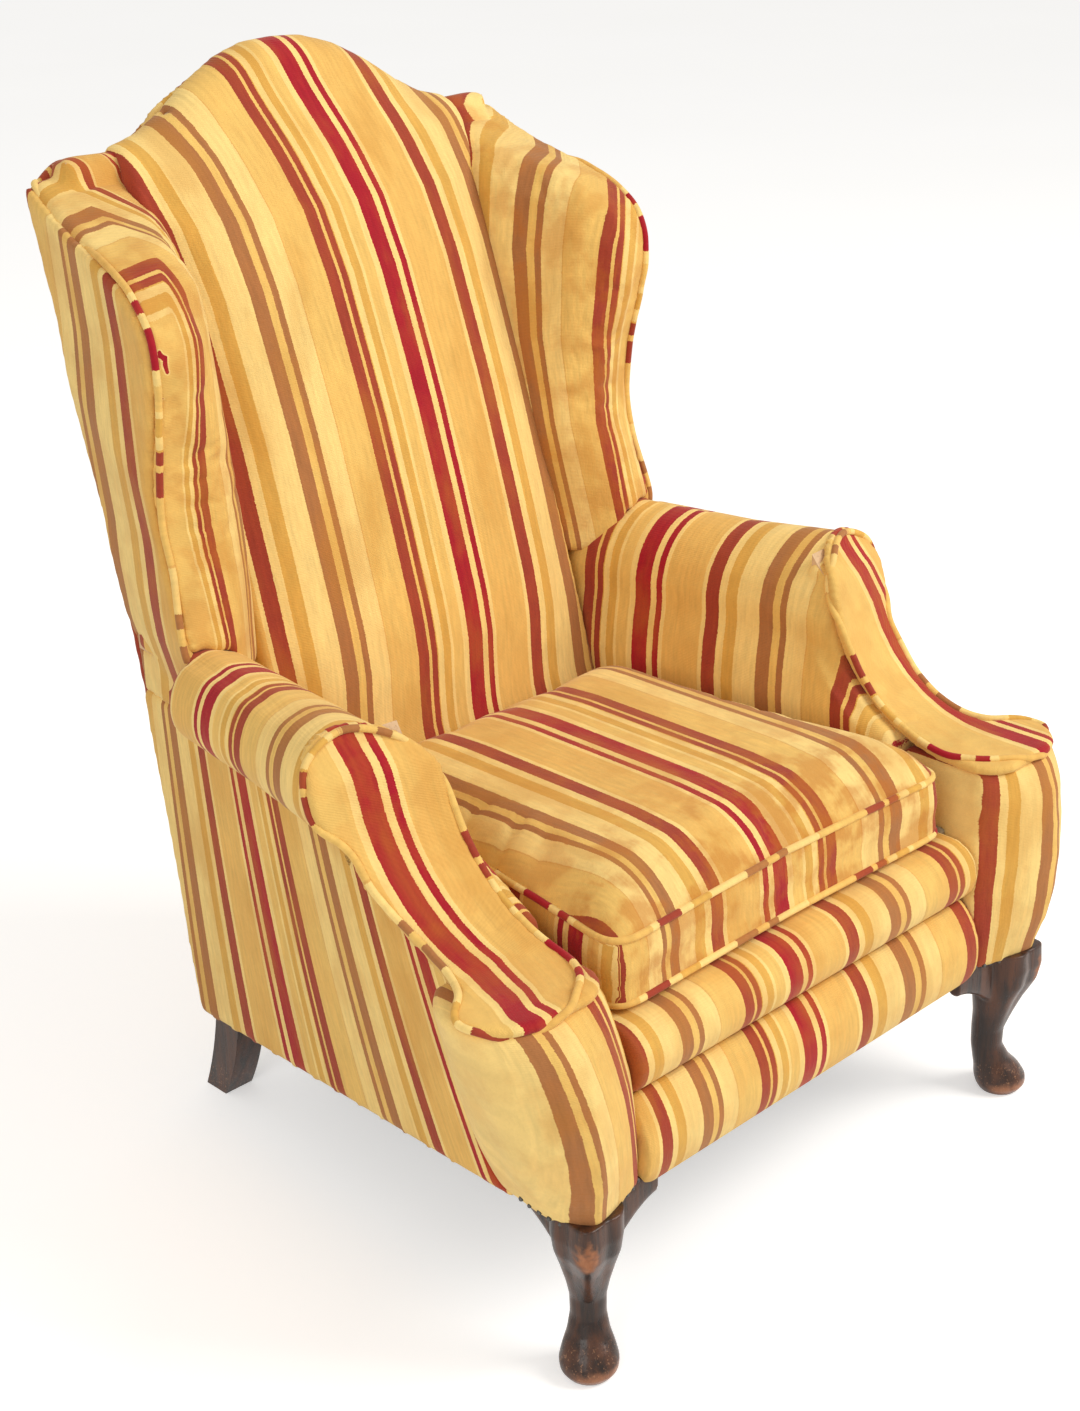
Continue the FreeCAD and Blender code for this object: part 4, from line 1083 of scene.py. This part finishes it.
def floor_finish():
    """Matt white paper with the faintest unevenness."""
    paper = Finish("studio_paper", Roughness=0.95, Specular_IOR_Level=0.0, Emission_Strength=paper_glow)
    tone = paper.clouds(paper.place(), 0.8, 2.0)
    paper.to("Base Color", paper.mix(tone, dye(240, 239, 237), dye(244, 243, 242)))
    seen = paper.add("LightPath", {}, {}, "Is Camera Ray")
    mirrored = paper.add("LightPath", {}, {}, "Is Glossy Ray")
    glow = paper.add("Math", {"operation": "MAXIMUM"}, {0: seen, 1: mirrored})
    paper.to("Emission Color", paper.mix(glow, dye(0, 0, 0), dye(255, 255, 255)))
    return paper.material


floor_mesh = bpy.data.meshes.new("studio_floor")
floor_form = bmesh.new()
bmesh.ops.create_grid(floor_form, x_segments=8, y_segments=8, size=40)
floor_form.to_mesh(floor_mesh)
floor_form.free()
floor = add_piece("studio_floor", floor_mesh)
floor.data.materials.append(floor_finish())

world = bpy.data.worlds.new("studio")
world.use_nodes = True
sky = world.node_tree.nodes["Background"]
sky.inputs["Color"].default_value = (1.0, 0.99, 0.97, 1.0)
seen = world.node_tree.nodes.new("ShaderNodeLightPath")
level = world.node_tree.nodes.new("ShaderNodeMath")
level.operation = "MULTIPLY_ADD"
level.inputs[1].default_value = sky_seen - sky_level
level.inputs[2].default_value = sky_level
either = world.node_tree.nodes.new("ShaderNodeMath")
either.operation = "MAXIMUM"
world.node_tree.links.new(seen.outputs["Is Camera Ray"], either.inputs[0])
world.node_tree.links.new(seen.outputs["Is Glossy Ray"], either.inputs[1])
world.node_tree.links.new(either.outputs[0], level.inputs[0])
world.node_tree.links.new(level.outputs[0], sky.inputs["Strength"])
bpy.context.scene.world = world


def softbox(name, place, aim, width, power):
    """A square lamp, aimed at a point."""
    lamp = bpy.data.lights.new(name, "AREA")
    lamp.size = width
    lamp.energy = power
    lamp.color = (1.0, 0.975, 0.94)
    light = bpy.data.objects.new(name, lamp)
    bpy.context.scene.collection.objects.link(light)
    light.matrix_world = Matrix.Translation(place) @ (
        Vector(aim) - Vector(place)).to_track_quat("-Z", "Y").to_matrix().to_4x4()


softbox("key_light", (2.3, -3.0, 3.4), (0, 0, 0.5), width=2.4, power=150)
softbox("fill_light", (-3.4, -1.4, 2.4), (0, 0, 0.5), width=2.0, power=45)

lens = bpy.data.cameras.new("camera")
lens.lens = 56.54852
lens.sensor_width = 36
lens.clip_end = 200
camera = bpy.data.objects.new("camera", lens)
bpy.context.scene.collection.objects.link(camera)
right = Vector((0.71138469, -0.70240858, -0.02353741))
up = Vector((0.29586625, 0.26893257, 0.91659066))
ahead = Vector((0.63749117, 0.65901249, -0.39913351))
camera.matrix_world = Matrix.Translation((-1.543346, -1.587210, 1.438044)) @ Matrix(
    (right, up, -ahead)).transposed().to_4x4()
bpy.context.scene.camera = camera
bpy.context.scene.view_settings.view_transform = "Standard"
